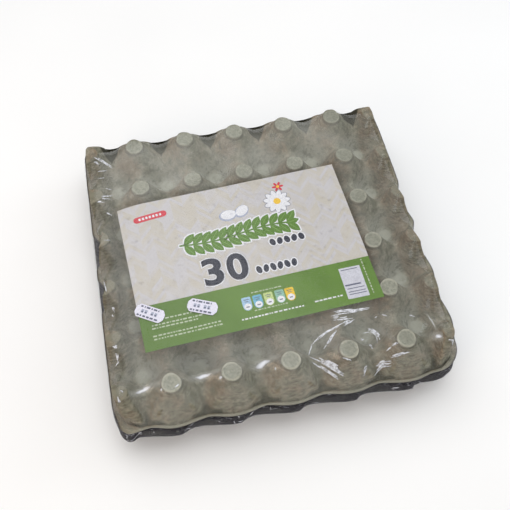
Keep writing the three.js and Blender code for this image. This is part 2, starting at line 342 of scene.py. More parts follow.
def squeezeSide(u):
    flatEdge = mould["halfCells"] - mould["footRadius"] / pitch
    outer = mould["halfCells"] - 0.5
    if abs(u) <= outer:
        return u
    if abs(u) <= flatEdge:
        size = mix(outer, mould["sidePocket"], share(abs(u), outer, flatEdge))
    else:
        size = mix(mould["sidePocket"], mould["wallEdge"], share(abs(u), flatEdge, mould["halfCells"]))
    return math.copysign(size, u)


def squeezeEnd(v):
    flatEdge = mould["halfCells"] - 0.5 + mould["footRadius"] / pitch
    if abs(v) <= flatEdge:
        return v
    return math.copysign(mix(flatEdge, mould["wallEdge"], share(abs(v), flatEdge, mould["halfCells"])), v)


def roundedCorner(along, across):
    start = mould["halfCells"] - 0.5
    if abs(along) <= start:
        return along
    far = share(abs(across), start, mould["wallEdge"])
    kept = math.sqrt(1 - mould["cornerRounding"] * far * far)
    return math.copysign(start + (abs(along) - start) * kept, along)


def onRoundedSquare(x, y, half, radius):
    # the point of a rounded square that belongs to a place on a square from -1 to 1
    if x < 0 and y < 0:
        radius *= mould["nearLeftSharpness"]
    core = half - radius
    cx = max(-core, min(core, x * half))
    cy = max(-core, min(core, y * half))
    away = Vector((x * half - cx, y * half - cy))
    if away.x and away.y:
        away = away.normalized() * radius
    return Vector((cx, cy)) + away


def sideWave(x, y):
    # 1 beside a cup or a post of the outer rows, -1 in between, with the inner bends a little sharper
    level = (1 + wave(min(abs(x), abs(y)) * mould["halfCells"])) / 2
    # the left side is held straight, and so is the far part of the right side
    straight = smoothShare(-x, 0.92, 0.99) + smoothShare(x, 0.92, 0.99) * smoothShare(y, 0.3, 0.42)
    return mix(2 * level ** 0.75 - 1, 0.7, straight)


def raggedWave(x, y):
    # along the near side of the lower tray each bulge rises slowly and breaks off
    if y > -0.97 or abs(x) > 0.93:
        return sideWave(x, y)
    along = (x * mould["halfCells"] + 0.78) % 1
    return 2 * (smoothShare(along, 0.1, 0.8) - smoothShare(along, 0.82, 1)) - 1


def pulled(x, y, dents):
    # where the film pulls a place near the edge
    start = rimHalf - wrapPull["reach"]
    right, left = smoothShare(x, start, rimHalf), smoothShare(-x, start, rimHalf)
    far, near = smoothShare(y, start, rimHalf), smoothShare(-y, start, rimHalf)
    at = Vector((x + wrapPull["right"] * right - wrapPull["left"] * left,
                 y + wrapPull["far"] * far - wrapPull["near"] * near))
    start = rimHalf - wrapPull["cornerReach"]
    for (signX, signY), (pullX, pullY) in wrapPull["corners"].items():
        felt = smoothShare(x * signX, start, rimHalf) * smoothShare(y * signY, start, rimHalf)
        at += Vector((pullX, pullY)) * felt
    for side, along, half, depth in dents:
        near = max(0.0, 1 - ((y - along) / half) ** 2) ** 1.5
        at.x -= side * depth * near * smoothShare(x * side, rimHalf - wrapPull["dentReach"], rimHalf)
    return at


def pressedDown(x, y):
    (cx, cy), reach, depth = wrapPull["pressed"]
    return depth * (1 - smoothShare(math.hypot(x - cx, y - cy), 0, reach))


def trayDents(isLid):
    return wrapPull["dents"] + wrapPull["lidDents"] if isLid else wrapPull["dents"]


def traySurface(u, v, seed, isLid):
    x = roundedCorner(squeezeSide(u), squeezeEnd(v)) * pitch
    y = roundedCorner(squeezeEnd(v), squeezeSide(u)) * pitch
    half = mould["halfCells"]
    lip = trayLook["lipReach"] * (1 + wave(u)) / 2 * (1 - share(abs(u), half - 0.5, half))
    y += math.copysign(lip * share(abs(v), half - 0.35, half), v)
    away = math.hypot(u - round(u), v - 0.5 - round(v - 0.5)) * pitch
    # no cup bottom is quite round
    uneven = trayLook["unround"] * unevenness(x, y, trayLook["unroundSize"], seed + 20)
    uneven *= 1 - smoothShare(away, *trayLook["unroundReach"])
    x += (u - round(u)) * pitch * uneven
    y += (v - 0.5 - round(v - 0.5)) * pitch * uneven
    lumps = trayLook["lumps"] * unevenness(x, y, trayLook["lumpSize"], seed)
    lumps += trayLook["lumps"] / 2 * unevenness(x, y, trayLook["lumpSize"] / 3, seed + 5)
    lumps *= smoothShare(away, mould["footRadius"], mould["footRadius"] + trayLook["lumpStart"])
    depth = trayDepth(u, v, y) + trayLook["beadHeight"] + abs(lumps)
    at = pulled(x, y, trayDents(isLid))
    if isLid:
        felt = smoothShare(x, rimHalf - wrapPull["reach"], mould["wallEdge"] * pitch)
        felt *= 1 - smoothShare(depth, 0, mould["rimDrop"])
        at.x -= wrapPull["rightCups"] * felt
        depth += wrapPull["rightCupsDown"] * felt
        depth += pressedDown(x, y) * (1 - smoothShare(depth, 0, mould["rimDrop"]))
    return Vector((at.x, at.y, -depth))


def borderPoint(u, v, number, seed, isLid):
    # the rings from the foot of the relief's wall round the rim to the waist
    footRings, rimRings = trayLook["footRings"], trayLook["rimRings"]
    face = -mould["rimDrop"]
    wallEdge = mould["wallEdge"] * pitch
    if number <= len(footRings):
        lean, up = footRings[number - 1]
        at = traySurface(u, v, seed, isLid)
        grow = 1 + trayLook["wallFoot"] * lean / wallEdge
        return Vector((at.x * grow, at.y * grow, face - up * mm))
    x, y = u / mould["halfCells"], v / mould["halfCells"]
    number -= len(footRings)
    if number <= len(rimRings):
        inset, drop = rimRings[number - 1]
        wander = trayLook["rimWander"] * unevenness(x, y, 0.16, seed + 9)
        sag = trayLook["rimWander"] * unevenness(x, y, 0.3, seed + 12)
        outline = sideWave(x, y) if isLid else raggedWave(x, y)
        half = rimHalf + mould["rimScallop"] * outline - abs(wander) - inset * mm
        if not isLid:
            half += trayLook["baseExtra"]
        at = pulled(*onRoundedSquare(x, y, half, mould["rimCornerRadius"]), trayDents(isLid))
        return Vector((at.x, at.y, face - drop * mm - abs(sag)))
    half = rimHalf - mould["waistInset"]
    at = onRoundedSquare(x, y, half, mould["waistCornerRadius"])
    level = face - mould["rimThickness"] - mould["waistDrop"]
    return Vector((at.x, at.y, level if number == len(rimRings) + 1 else -(lidHigh.z - lidLow.z)))


def borderShare(number):
    # 0 on the relief, a half on the rim's face, 1 on the rim's edge
    face = len(trayLook["footRings"]) + 1
    return 0 if number == 0 else 0.3 if number < face else 0.5 if number == face else 1


def makeTray(name, seed, top, isLid):
    borderCount = len(trayLook["footRings"]) + len(trayLook["rimRings"]) + 2
    tray = makeLattice(name)
    extrudeBorder(tray, borderCount)
    numbers = [ring.value for ring in tray.data.attributes["ring"].data]
    border = tray.data.attributes.new("border", "FLOAT", "POINT")
    for vertex, tag, number in zip(tray.data.vertices, border.data, numbers):
        u, v = vertex.co.x / pitch, vertex.co.y / pitch
        tag.value = borderShare(number)
        if number == 0:
            at = traySurface(u, v, seed, isLid)
        elif number <= borderCount:
            at = borderPoint(u, v, number, seed, isLid)
        else:
            at = Vector((0, 0, -(lidHigh.z - lidLow.z)))
        if not isLid:
            at.z = -at.z
        vertex.co = at + Vector((0, 0, top))
    tray.data.attributes.remove(tray.data.attributes["ring"])
    closeUp(tray)
    smoothByAngle(tray, 60)
    print(name, len(tray.data.vertices), "points")
    return tray


labelLook = {
    "width": 208 * mm,
    "depth": 148 * mm,
    "centre": (-15.9 * mm, -14.6 * mm),
    "turn": math.radians(3.1),
    "thickness": 0.3 * mm,
    "cells": (84, 60),  # faces along its edges
    "curl": 4 * mm,  # its far left corner hangs down
    "curlReach": 26 * mm,
    "sag": 0.35 * mm,  # between the cup bottoms
    "bandTop": -31.8 * mm,  # upper edge of the green band, on the label
}


def onLabel(x, y):
    # a place on the label, in its own millimetres from its middle, as a place on the pack
    turn = Matrix.Rotation(labelLook["turn"], 2)
    return turn @ Vector((x, y)) + Vector(labelLook["centre"])


def labelLevel(x, y):
    # height of the label's upper face at a place on the label
    halfWidth, halfDepth = labelLook["width"] / 2, labelLook["depth"] / 2
    toCorner = math.hypot(halfWidth - abs(x), halfDepth - abs(y))
    curl = 1 - share(toCorner, 0, labelLook["curlReach"]) if x < 0 < y else 0
    at = onLabel(x, y)
    swell = (wave(at.x / pitch) - wave(at.y / pitch)) / 2
    sag = labelLook["sag"] * (1 - smoothShare(swell, -0.4, 0.9))
    return labelTop - labelLook["curl"] * curl * curl - sag


def settleOnLabel(piece, lift):
    # moves a flat piece, drawn in the label's own place, onto the label
    for vertex in piece.data.vertices:
        x, y, z = vertex.co
        at = onLabel(x, y)
        vertex.co = (at.x, at.y, labelLevel(x, y) + z + lift)


def solidify(piece, thickness, offset):
    modifier = piece.modifiers.new("thickness", "SOLIDIFY")
    modifier.thickness = thickness
    modifier.offset = offset
    applyModifiers(piece)


def makeLabel():
    label = newGrid(*labelLook["cells"])
    bpy.ops.object.mode_set(mode="EDIT")
    bpy.ops.transform.resize(value=(labelLook["width"], labelLook["depth"], 1))
    bpy.ops.object.mode_set(mode="OBJECT")
    settleOnLabel(label, 0)
    solidify(label, labelLook["thickness"], -1)
    smoothByAngle(label, 40)
    label.name = "label_sheet"
    print("label", len(label.data.vertices), "points")
    return label


# ink on the label; places and sizes are in millimetres from the label's middle
printLook = {
    "thickness": 0.03 * mm,
    "lift": 0.05 * mm,  # of the lowest layer above the paper
    "layer": 0.05 * mm,  # from one layer of ink to the next
    "step": 0.009 * mm,  # shapes that overlap in one ink lie this far apart
    "grid": 7 * mm,  # ink is cut this fine, to follow the paper
    "halo": 2.2,  # white round the navy and green shapes, both sides together
    "boldness": 0.03,  # of the numerals, in their own size
}
prints = {}  # shapes by ink, until they are laid on the paper


def placeFlat(ink, shape, x, y, width, height, turn=0.0):
    # brings a flat shape of size 1 to its size and place, and files it under its ink
    prints.setdefault(ink, []).append(shape)
    shape.scale = (width * mm, height * mm, 1)
    shape.rotation_euler.z = math.radians(turn)
    shape.location = (x * mm, y * mm, 0)
    makeActive(shape)
    bpy.ops.object.transform_apply(location=True, rotation=True, scale=True)


def printOval(ink, x, y, width, height, turn=0.0):
    deselectAll()
    bpy.ops.mesh.primitive_circle_add(vertices=28, radius=0.5, fill_type="NGON")
    placeFlat(ink, bpy.context.object, x, y, width, height, turn)


def printLeaf(ink, x, y, length, width, turn):
    # an oval drawn out to a point at both ends
    deselectAll()
    bpy.ops.mesh.primitive_circle_add(vertices=20, radius=0.5, fill_type="NGON")
    leaf = bpy.context.object
    for vertex in leaf.data.vertices:
        vertex.co.y *= math.sqrt(max(0.0, 1 - 4 * vertex.co.x ** 2))
    placeFlat(ink, leaf, x, y, length, width, turn)


def printBar(ink, x, y, width, height, turn=0.0, rounding=0.0):
    deselectAll()
    bpy.ops.mesh.primitive_plane_add(size=1)
    placeFlat(ink, bpy.context.object, x, y, width, height, turn)
    if rounding:
        bpy.ops.object.mode_set(mode="EDIT")
        bpy.ops.mesh.select_all(action="SELECT")
        bpy.ops.mesh.bevel(offset=rounding * mm, segments=6, affect="VERTICES")
        bpy.ops.object.mode_set(mode="OBJECT")


def printNumeral(ink, numeral, x, y, width, height, boldness):
    deselectAll()
    bpy.ops.object.text_add()
    text = bpy.context.object
    text.data.body = numeral
    text.data.offset = boldness
    text.data.resolution_u = 5
    bpy.ops.object.convert(target="MESH")
    text = bpy.context.object
    low = Vector(min(v.co[axis] for v in text.data.vertices) for axis in range(2))
    high = Vector(max(v.co[axis] for v in text.data.vertices) for axis in range(2))
    for vertex in text.data.vertices:
        vertex.co.x = (vertex.co.x - low.x) / (high.x - low.x) - 0.5
        vertex.co.y = (vertex.co.y - low.y) / (high.y - low.y) - 0.5
    placeFlat(ink, text, x, y, width, height)


def printDashes(ink, start, end, thickness, seed):
    # a broken line, in place of small writing
    draw = random.Random(seed)
    start, end = Vector(start), Vector(end)
    run = (end - start).normalized()
    turn = math.degrees(math.atan2(run.y, run.x))
    done = 0.0
    while done < (end - start).length - 1:
        length = min(draw.uniform(0.8, 3.4), (end - start).length - done)
        middle = start + run * (done + length / 2)
        printBar(ink, middle.x, middle.y, length, thickness, turn)
        done += length + draw.uniform(0.8, 1.3)


def printBranch():
    # a leafy branch across the label, with a white halo
    halo = printLook["halo"]
    stem = [Vector((x, 19.5 + 2.2 * math.sin(x / 17))) for x in range(-56, 46, 4)]
    for start, end in zip(stem, stem[1:]):
        run = end - start
        turn = math.degrees(math.atan2(run.y, run.x))
        middle = (start + end) / 2
        printBar("leaf", middle.x, middle.y, run.length + 0.5, 1.7, turn)
        printBar("white", middle.x, middle.y, run.length + 2, 1.7 + halo, turn)
    for number, foot in enumerate(stem[1::2]):
        run = stem[2 * number + 2] - foot if 2 * number + 2 < len(stem) else Vector((1, 0))
        for side in (1, -1):
            turn = math.atan2(run.y, run.x) + side * math.radians(50)
            reach = Vector((math.cos(turn), math.sin(turn)))
            printOneLeaf(foot + reach * 7.6, 14.5, 7.4, math.degrees(turn))
    printOneLeaf(stem[-1] + Vector((5, 0)), 13, 6.6, 8)


def printOneLeaf(middle, length, width, turn):
    halo = printLook["halo"]
    printLeaf("white", middle.x, middle.y, length + 1.6 * halo, width + 1.3 * halo, turn)
    printLeaf("leaf", middle.x, middle.y, length, width, turn)
    printBar("vein", middle.x, middle.y, length * 0.66, 0.45, turn)


def printFlower(x, y, petals, reach, ink, outline):
    for number in range(petals):
        turn = 2 * math.pi * number / petals
        at = Vector((x + math.cos(turn) * reach * 0.58, y + math.sin(turn) * reach * 0.58))
        if outline:
            printOval("outline", at.x, at.y, reach * 0.93, reach * 0.50, math.degrees(turn))
        printOval(ink, at.x, at.y, reach * 0.86, reach * 0.41, math.degrees(turn))
    printOval("yellow", x, y, reach * 0.55, reach * 0.55)


def printEgg(x, y, width, height, turn):
    printOval("shade", x, y, width, height, turn)
    printOval("white", x + 0.5, y + 0.7, width * 0.86, height * 0.82, turn)


def printNavyEggs(count, x, y, step, width, height, tilt):
    halo = printLook["halo"]
    for number in range(count):
        turn = tilt * (-1) ** number
        printOval("white", x + step * number, y, width + halo, height + halo, turn)
        printOval("navy", x + step * number, y, width, height, turn)


def printNumber():
    # how many eggs
    halo = printLook["halo"]
    for numeral, x, width in (("3", -33.2, 17.6), ("0", -11.1, 18.7)):
        printNumeral("navy", numeral, x, -13.3, width, 27.5, printLook["boldness"])
        printNumeral("white", numeral, x, -13.3, width + halo, 27.5 + halo, printLook["boldness"] * 1.9)


def printTags():
    # five coloured tags in a row, each with a white foot
    places = [(-12.1, "sky"), (-2.3, "blue"), (7.4, "lime"), (17.3, "teal"), (26.3, "orange")]
    for x, ink in places:
        printBar(ink, x, -49.4, 8.0, 9.0, 0, 1.2)
        printOval(ink, x, -53.3, 8.0, 9.2)
        printOval("white", x, -54.2, 6.3, 6.3)
        printBar("slate", x, -47.4, 4.6, 0.6)
        printBar("slate", x, -49.2, 3.4, 0.6)
        printBar("slate", x, -54.5, 2.8, 1.0)
    printDashes("pale", (-6.2, -42), (20.6, -42), 1.1, 11)
    printDashes("pale", (-7.3, -59.3), (22, -59.3), 1.1, 12)
    printDashes("white", (-20, -65.1), (34.5, -65.1), 1.4, 13)


def printPanel():
    printBar("panel", 83.1, -53.9, 19.2, 30.8, -1.2, 0.5)
    for x, y, length, thickness in ((83, -40.6, 15, 0.7), (81.6, -56, 14.2, 1.5), (83, -59.6, 15.5, 0.7),
                                    (83, -62.8, 15.5, 0.7), (83.2, -65.2, 15.5, 0.7)):
        printBar("slate", x, y, length, thickness, -1.2)
    printDashes("pale", (96.3, -33.5), (96.3, -69.6), 1.0, 14)
    printDashes("white", (44.5, -64), (69.4, -64), 1.4, 15)


def printSmallLines():
    rows = [(-82.4, -58.4, -47.2), (-94.4, -50.7, -51.7), (-94.9, -55.7, -54.6), (-95.3, -35.8, -61.6),
            (-95, -36.6, -64.6)]
    for number, (left, right, y) in enumerate(rows):
        printDashes("pale", (left, y), (right, y), 1.3, 20 + number)


def printBadge():
    printBar("red", -75.8, 57.3, 31, 6.6, 5, 3.2)
    for number in range(7):
        printBar("white", -85.5 + 3.2 * number, 56.45 + 0.28 * number, 2.0, 2.6, 5, 0.4)


def printSticker():
    printDashes("slate", (-9.5, 4.2), (9, 4.2), 1.5, 40)
    printDashes("slate", (-10, -4.3), (10, -4.3), 1.5, 41)
    for x in (-6.6, -3.4, 2.2, 5.4):
        printBar("shade", x, 0.1, 2.3, 3.4)
        printBar("slate", x, -0.6, 1.4, 1.2)


def cutToGrid(piece):
    spacing = printLook["grid"]
    reach = [[vertex.co[axis] for vertex in piece.data.vertices] for axis in range(2)]
    makeActive(piece)
    bpy.ops.object.mode_set(mode="EDIT")
    for axis in range(2):
        line = math.ceil(min(reach[axis]) / spacing)
        while line * spacing < max(reach[axis]):
            place, normal = [0, 0, 0], [0, 0, 0]
            place[axis], normal[axis] = line * spacing, 1
            bpy.ops.mesh.select_all(action="SELECT")
            bpy.ops.mesh.bisect(plane_co=place, plane_no=normal)
            line += 1
    bpy.ops.object.mode_set(mode="OBJECT")


def layPrint(name, slot, settle):
    # each ink is one piece: joined, cut to a grid, laid on its paper and given a thickness
    for ink, shapes in prints.items():
        colour, layer = inks[ink]
        for number, shape in enumerate(shapes):
            for vertex in shape.data.vertices:
                vertex.co.z = printLook["step"] * (number % 4)
        piece = joinPieces(shapes, name + "_" + ink)
        cutToGrid(piece)
        settle(piece, printLook["lift"] + layer * printLook["layer"])
        solidify(piece, printLook["thickness"], 1)
        finishPiece(piece, inkMaterial(ink + "_ink", colour), slot)
    print(name, len(prints), "inks")
    prints.clear()


colours = {
    "pulpBrown": (0.245, 0.190, 0.132),
    "pulpGrey": (0.235, 0.222, 0.165),
    "pulpGreen": (0.185, 0.187, 0.130),
    "paintedPale": (0.47, 0.48, 0.42),
    "pulpShade": (0.048, 0.046, 0.032),
    "lineDark": (0.105, 0.088, 0.062),
    "linePale": (0.42, 0.385, 0.295),
    "fibreDark": (0.105, 0.092, 0.068),
    "fibrePale": (0.42, 0.395, 0.32),
    "fleckDark": (0.115, 0.105, 0.078),
    "fleckPale": (0.40, 0.385, 0.31),
    "pitFloorLight": (0.47, 0.475, 0.40),
    "cupBottom": (0.325, 0.325, 0.258),
    "cupSpeck": (0.22, 0.225, 0.175),
    "cupStain": (0.16, 0.16, 0.12),
    "cupRingHighlight": (0.49, 0.47, 0.375),
    "rimNearLight": (0.35, 0.345, 0.275),
    "rimLeft": (0.17, 0.145, 0.11),
    "rimEdgeShade": (0.035, 0.030, 0.030),
    # painted shade: the lower tray, in shade under the lid's rim and the film
    "baseShade": (0.006, 0.0055, 0.009),
    "baseShadePatch": (0.016, 0.014, 0.018),
    "baseShadeFibre": (0.05, 0.05, 0.065),
    "paperWhite": (0.58, 0.56, 0.575),
    "paperCream": (0.57, 0.53, 0.465),
    "paperSeam": (0.5, 0.47, 0.42),
    "paperGrain": (0.64, 0.62, 0.63),
    "green": (0.097, 0.208, 0.012),
    "greenPatch": (0.118, 0.240, 0.020),
    "greenLeft": (0.078, 0.172, 0.006),
    "filmClear": (0.97, 0.975, 0.98),
    "filmShine": (1, 1, 1),
    "filmSideShine": (0.84, 0.78, 1.0),
    "filmHaze": (0.74, 0.75, 0.68),
    "filmHighlight": (0.90, 0.93, 1.0),
    "creaseHighlight": (0.88, 0.90, 0.96),
    "floor": (0.93, 0.93, 0.93),
    "floorPatch": (0.96, 0.96, 0.96),
    "stickerPaper": (0.70, 0.69, 0.80),
}
inks = {
    # colour and layer: a higher layer lies over a lower one
    "red": ((0.58, 0.02, 0.045), 0),
    "shade": ((0.36, 0.39, 0.50), 0),
    "outline": ((0.17, 0.18, 0.24), 0),
    "sky": ((0.33, 0.50, 0.68), 0),
    "blue": ((0.14, 0.40, 0.56), 0),
    "lime": ((0.48, 0.58, 0.22), 0),
    "teal": ((0.25, 0.46, 0.37), 0),
    "orange": ((0.76, 0.50, 0.015), 0),
    "white": ((0.74, 0.74, 0.77), 1),
    "panel": ((0.56, 0.56, 0.62), 1),
    "pale": ((0.46, 0.52, 0.38), 1),
    "navy": ((0.010, 0.013, 0.034), 2),
    "leaf": ((0.085, 0.195, 0.012), 2),
    "slate": ((0.10, 0.11, 0.17), 2),
    "yellow": ((0.80, 0.50, 0.03), 2),
    "vein": ((0.20, 0.36, 0.08), 3),
}


def rgb(colour):
    # a colour by its name in the list, or as three numbers
    return (*(colours[colour] if isinstance(colour, str) else colour), 1.0)


class Graph:
    # shorthand for wiring the nodes of a material, or of the sky
    def __init__(self, name, kind="Material"):
        self.owner = (bpy.data.materials if kind == "Material" else bpy.data.worlds).new(name)
        self.owner.use_nodes = True
        self.tree = self.owner.node_tree
        self.tree.nodes.clear()
        self.output = self.tree.nodes.new("ShaderNodeOutput" + kind)

    def add(self, kind, settings=None, **inputs):
        # an input is given by its name, or by its number as at0, at1 and so on
        node = self.tree.nodes.new("ShaderNode" + kind)
        for key, value in (settings or {}).items():
            setattr(node, key, value)
        for key, value in inputs.items():
            numbered = key[:2] == "at" and key[2:].isdigit()
            socket = node.inputs[int(key[2:]) if numbered else key.replace("_", " ")]
            if isinstance(value, bpy.types.NodeSocket):
                self.tree.links.new(value, socket)
            else:
                socket.default_value = value
        return node

    def math(self, operation, a, b=0.0):
        return self.add("Math", {"operation": operation}, at0=a, at1=b).outputs[0]

    def times(self, first, *others):
        for other in others:
            first = self.math("MULTIPLY", first, other)
        return first

    def most(self, first, *others):
        for other in others:
            first = self.math("MAXIMUM", first, other)
        return first

    def size(self, a):
        return self.math("ABSOLUTE", a)

    def length(self, vector):
        return self.add("VectorMath", {"operation": "LENGTH"}, at0=vector).outputs["Value"]

    def blend(self, factor, a, b):
        a, b = (rgb(end) if isinstance(end, str) else end for end in (a, b))
        return self.add("Mix", {"data_type": "RGBA"}, at0=factor, at6=a, at7=b).outputs[2]

    def range(self, value, low, high, toLow=0.0, toHigh=1.0):
        # goes smoothly from toLow to toHigh while the value goes from low to high
        return self.add("MapRange", {"interpolation_type": "SMOOTHSTEP"}, at0=value, at1=low, at2=high,
                        at3=toLow, at4=toHigh).outputs[0]

    def noise(self, vector, scale, detail=3.0, roughness=0.6, output=0):
        return self.add("TexNoise", Vector=vector, Scale=scale, Detail=detail,
                        Roughness=roughness).outputs[output]

    def split(self, vector):
        return self.add("SeparateXYZ", Vector=vector).outputs

    def place(self):
        return self.add("TexCoord").outputs["Object"]

    def normal(self):
        return self.split(self.add("TexCoord").outputs["Normal"])

    def stretched(self, vector, location=(0, 0, 0), turn=0.0, scale=(1, 1, 1)):
        return self.add("Mapping", Vector=vector, Location=location, Rotation=(0, 0, turn),
                        Scale=scale).outputs[0]

    def moved(self, vector, drift, amount):
        return self.add("VectorMath", {"operation": "MULTIPLY_ADD"}, at0=drift, at1=(amount,) * 3,
                        at2=vector).outputs[0]

    def cellPlace(self, u, v):
        # a place in pitches as millimetres from the middle of its cell
        x, y = (self.times(self.math("SUBTRACT", self.math("FLOORED_MODULO", a, 1.0), 0.5), pitch / mm)
                for a in (u, v))
        return self.add("CombineXYZ", X=x, Y=y).outputs[0]

    def labelPlace(self):
        # a place as seen from the middle of the label, along its edges
        centre = Matrix.Rotation(-labelLook["turn"], 2) @ Vector(labelLook["centre"])
        return self.stretched(self.place(), location=(-centre.x, -centre.y, 0), turn=-labelLook["turn"])

    def bump(self, height, strength, distance):
        return self.add("Bump", Strength=strength, Distance=distance, Height=height).outputs[0]

    def clear(self):
        return self.add("BsdfTransparent", Color=rgb("filmClear")).outputs[0]

    def paint(self, colour, roughness, **more):
        return self.add("BsdfPrincipled", Base_Color=colour, Roughness=roughness, **more).outputs[0]

    def finish(self, shader):
        self.tree.links.new(shader, self.output.inputs["Surface"])
        return self.owner


pulpLook = {
    "patches": 75,  # scales of the patterns: a greater one is finer
    "lines": 600,
    "fibres": 480,
    "flecks": 150,
    "wobble": 0.0014,  # of the drying lines
    "lineStretch": 0.36,
    "reliefDepth": 0.8 * mm,
    "roughness": 0.93,
    "baseRoughness": 0.75,
}


def pulpMaterial():
    # moulded pulp: brown on one side of each cup and green on the other, partly patches of its own tone and
    # partly painted light, warm where a face turns left and cool where it turns right
    g = Graph("moulded_pulp")
    place = g.place()
    at, normal = g.split(place), g.normal()
    u, v = (g.math("DIVIDE", at[axis], pitch) for axis in "XY")
    sideways, endways = g.size(u), g.size(v)
    depth = g.math("DIVIDE", g.math("SUBTRACT", lidTop, at["Z"]), mm)  # below the cup bottoms
    patches = g.noise(place, pulpLook["patches"], 5, 0.7)
    # painted light: the lean follows which way a face turns, for warm light from the left and cool light from
    # the right; the patches add a random tone
    lean = g.math("ADD", g.times(normal["X"], 0.7), g.times(g.math("SUBTRACT", patches, 0.5), 5))
    colour = g.blend(g.range(lean, -0.9, 0.3), "pulpBrown", "pulpGrey")
    colour = g.blend(g.range(lean, 0.1, 1.2), colour, "pulpGreen")
    # painted light: paler deep in the funnels between the cups of the two sides, to make up for their shade
    inner = g.range(endways, 2.5, 2.72, 1, 0)
    funnelLight = g.times(g.range(depth, 15, 33, 0, 0.6), inner, g.range(sideways, 2.45, 2.65, 1, 0.2))
    colour = g.blend(funnelLight, colour, "paintedPale")
    # drying lines on the steep faces, most of all on the outer ones
    bent = g.moved(place, g.noise(place, 110, 2, 0.5, "Color"), pulpLook["wobble"])
    stretch = (pulpLook["lineStretch"], pulpLook["lineStretch"], 1)
    lines = g.noise(g.stretched(bent, scale=stretch), pulpLook["lines"])
    outer = g.most(g.range(endways, 2.45, 2.6, 0.25, 1), g.range(sideways, 2.55, 2.7, 0.25, 1))
    steep = g.times(g.range(normal["Z"], 0.5, 0.85, 1, 0), outer)
    colour = g.blend(g.times(g.range(lines, 0.5, 0.63, 0, 0.55), steep), colour, "lineDark")
    colour = g.blend(g.times(g.range(lines, 0.37, 0.48, 0.42, 0), steep), colour, "linePale")
    # fibres and flecks
    fibres = g.noise(place, pulpLook["fibres"], 4, 0.75)
    colour = g.blend(g.range(fibres, 0.52, 0.70, 0, 0.38), colour, "fibrePale")
    colour = g.blend(g.range(fibres, 0.30, 0.46, 0.32, 0), colour, "fibreDark")
    flecks = g.noise(place, pulpLook["flecks"], 6, 0.72)
    calm = g.range(steep, 0, 1, 1, 0.5)
    colour = g.blend(g.times(g.range(flecks, 0.49, 0.63, 0, 0.55), calm), colour, "fleckDark")
    colour = g.blend(g.times(g.range(flecks, 0.36, 0.48, 0.5, 0), calm), colour, "fleckPale")
    # painted light: the floors of the pits are a little paler, to make up for their shade
    fromPost = g.length(g.cellPlace(u, g.math("ADD", v, 0.5)))
    pitFloorLight = g.times(g.range(depth, 33, 36, 0, 0.48), g.range(fromPost, 4.6, 7.2, 1, 0), inner)
    colour = g.blend(pitFloorLight, colour, "pitFloorLight")
    # the flat cup bottoms, with a painted highlight on their raised edge and painted shade in the neck below
    # it
    cupPlace = g.cellPlace(g.math("ADD", u, 0.5), v)
    fromCup = g.length(cupPlace)
    whole = g.range(sideways, 2.6, 2.65, 1, 0)
    bottom = g.blend(g.range(fibres, 0.38, 0.6), "cupSpeck", "cupBottom")
    bottom = g.blend(g.range(g.noise(place, 14, 1), 0.4, 0.6, 0.3, 0), bottom, "cupStain")
    bottom = g.blend(g.math("SUBTRACT", 1.0, whole), bottom, "pulpGrey")
    # painted highlight on the raised edge, broken up by a noise and strongest towards the near side
    ringBreakup = g.range(g.noise(place, 150, 2), 0.38, 0.55, 0.25, 1)
    ring = g.times(g.range(fromCup, 5.6, 7.5, 0, 0.7), whole, ringBreakup, g.range(v, -2, 1.5, 1, 0.35))
    bottom = g.blend(ring, bottom, "cupRingHighlight")
    colour = g.blend(g.range(depth, 0.4, 1.2, 1, 0), colour, bottom)
    # painted shade in the neck just below the raised edge
    neck = g.times(g.range(fromCup, 8.0, 8.6), g.range(fromCup, 8.8, 10.5, 0.4, 0), whole,
                   g.range(depth, 3, 4, 1, 0))
    colour = g.blend(neck, colour, "pulpShade")
    # painted shade in the hollows between the bells of the end rows; on the far side it opens outwards as a V
    border = g.add("Attribute", {"attribute_name": "border"}).outputs["Fac"]
    aside = g.size(g.split(cupPlace)["X"])
    nearHollowShade = g.times(g.range(depth, 24, 28, 0, 0.8), g.range(v, -2.62, -2.5, 1, 0),
                         g.range(border, 0, 0.3, 1, 0), g.range(aside, 0.2 * pitch / mm, 0.3 * pitch / mm))
    wedge = g.times(g.math("SUBTRACT", v, 2.46), 0.55 * pitch / mm)
    wedge = g.math("SUBTRACT", wedge, g.math("SUBTRACT", 0.5 * pitch / mm, aside))
    farHollowShade = g.times(g.range(wedge, -1.2, 1.2, 0, 0.95), g.range(v, 2.4, 2.5))
    colour = g.blend(g.most(nearHollowShade, farHollowShade), colour, "pulpShade")
    # the rim's face has painted light along the near side and is browner on the left, and its edge has
    # painted shade
    face = g.range(border, 0.3, 0.5)
    colour = g.blend(g.times(face, g.range(v, -2.9, -2.75, 0.6, 0)), colour, "rimNearLight")
    colour = g.blend(g.times(face, g.range(u, -2.9, -2.75, 0.5, 0)), colour, "rimLeft")
    rimDrop = mould["rimDrop"] / mm
    # painted shade on the rim's edge: all round, on the near side only along its lower part
    edge = g.most(g.range(v, -2.95, -2.8), g.range(depth, rimDrop + 1.9, rimDrop + 2.9))
    colour = g.blend(g.times(edge, g.range(border, 0.55, 0.95, 0, 0.92)), colour, "rimEdgeShade")
    relief = g.math("ADD", g.times(lines, 0.8, steep), g.times(fibres, 0.5))
    return g.finish(g.paint(colour, pulpLook["roughness"], Specular_IOR_Level=0.2,
                            Normal=g.bump(relief, 0.8, pulpLook["reliefDepth"])))


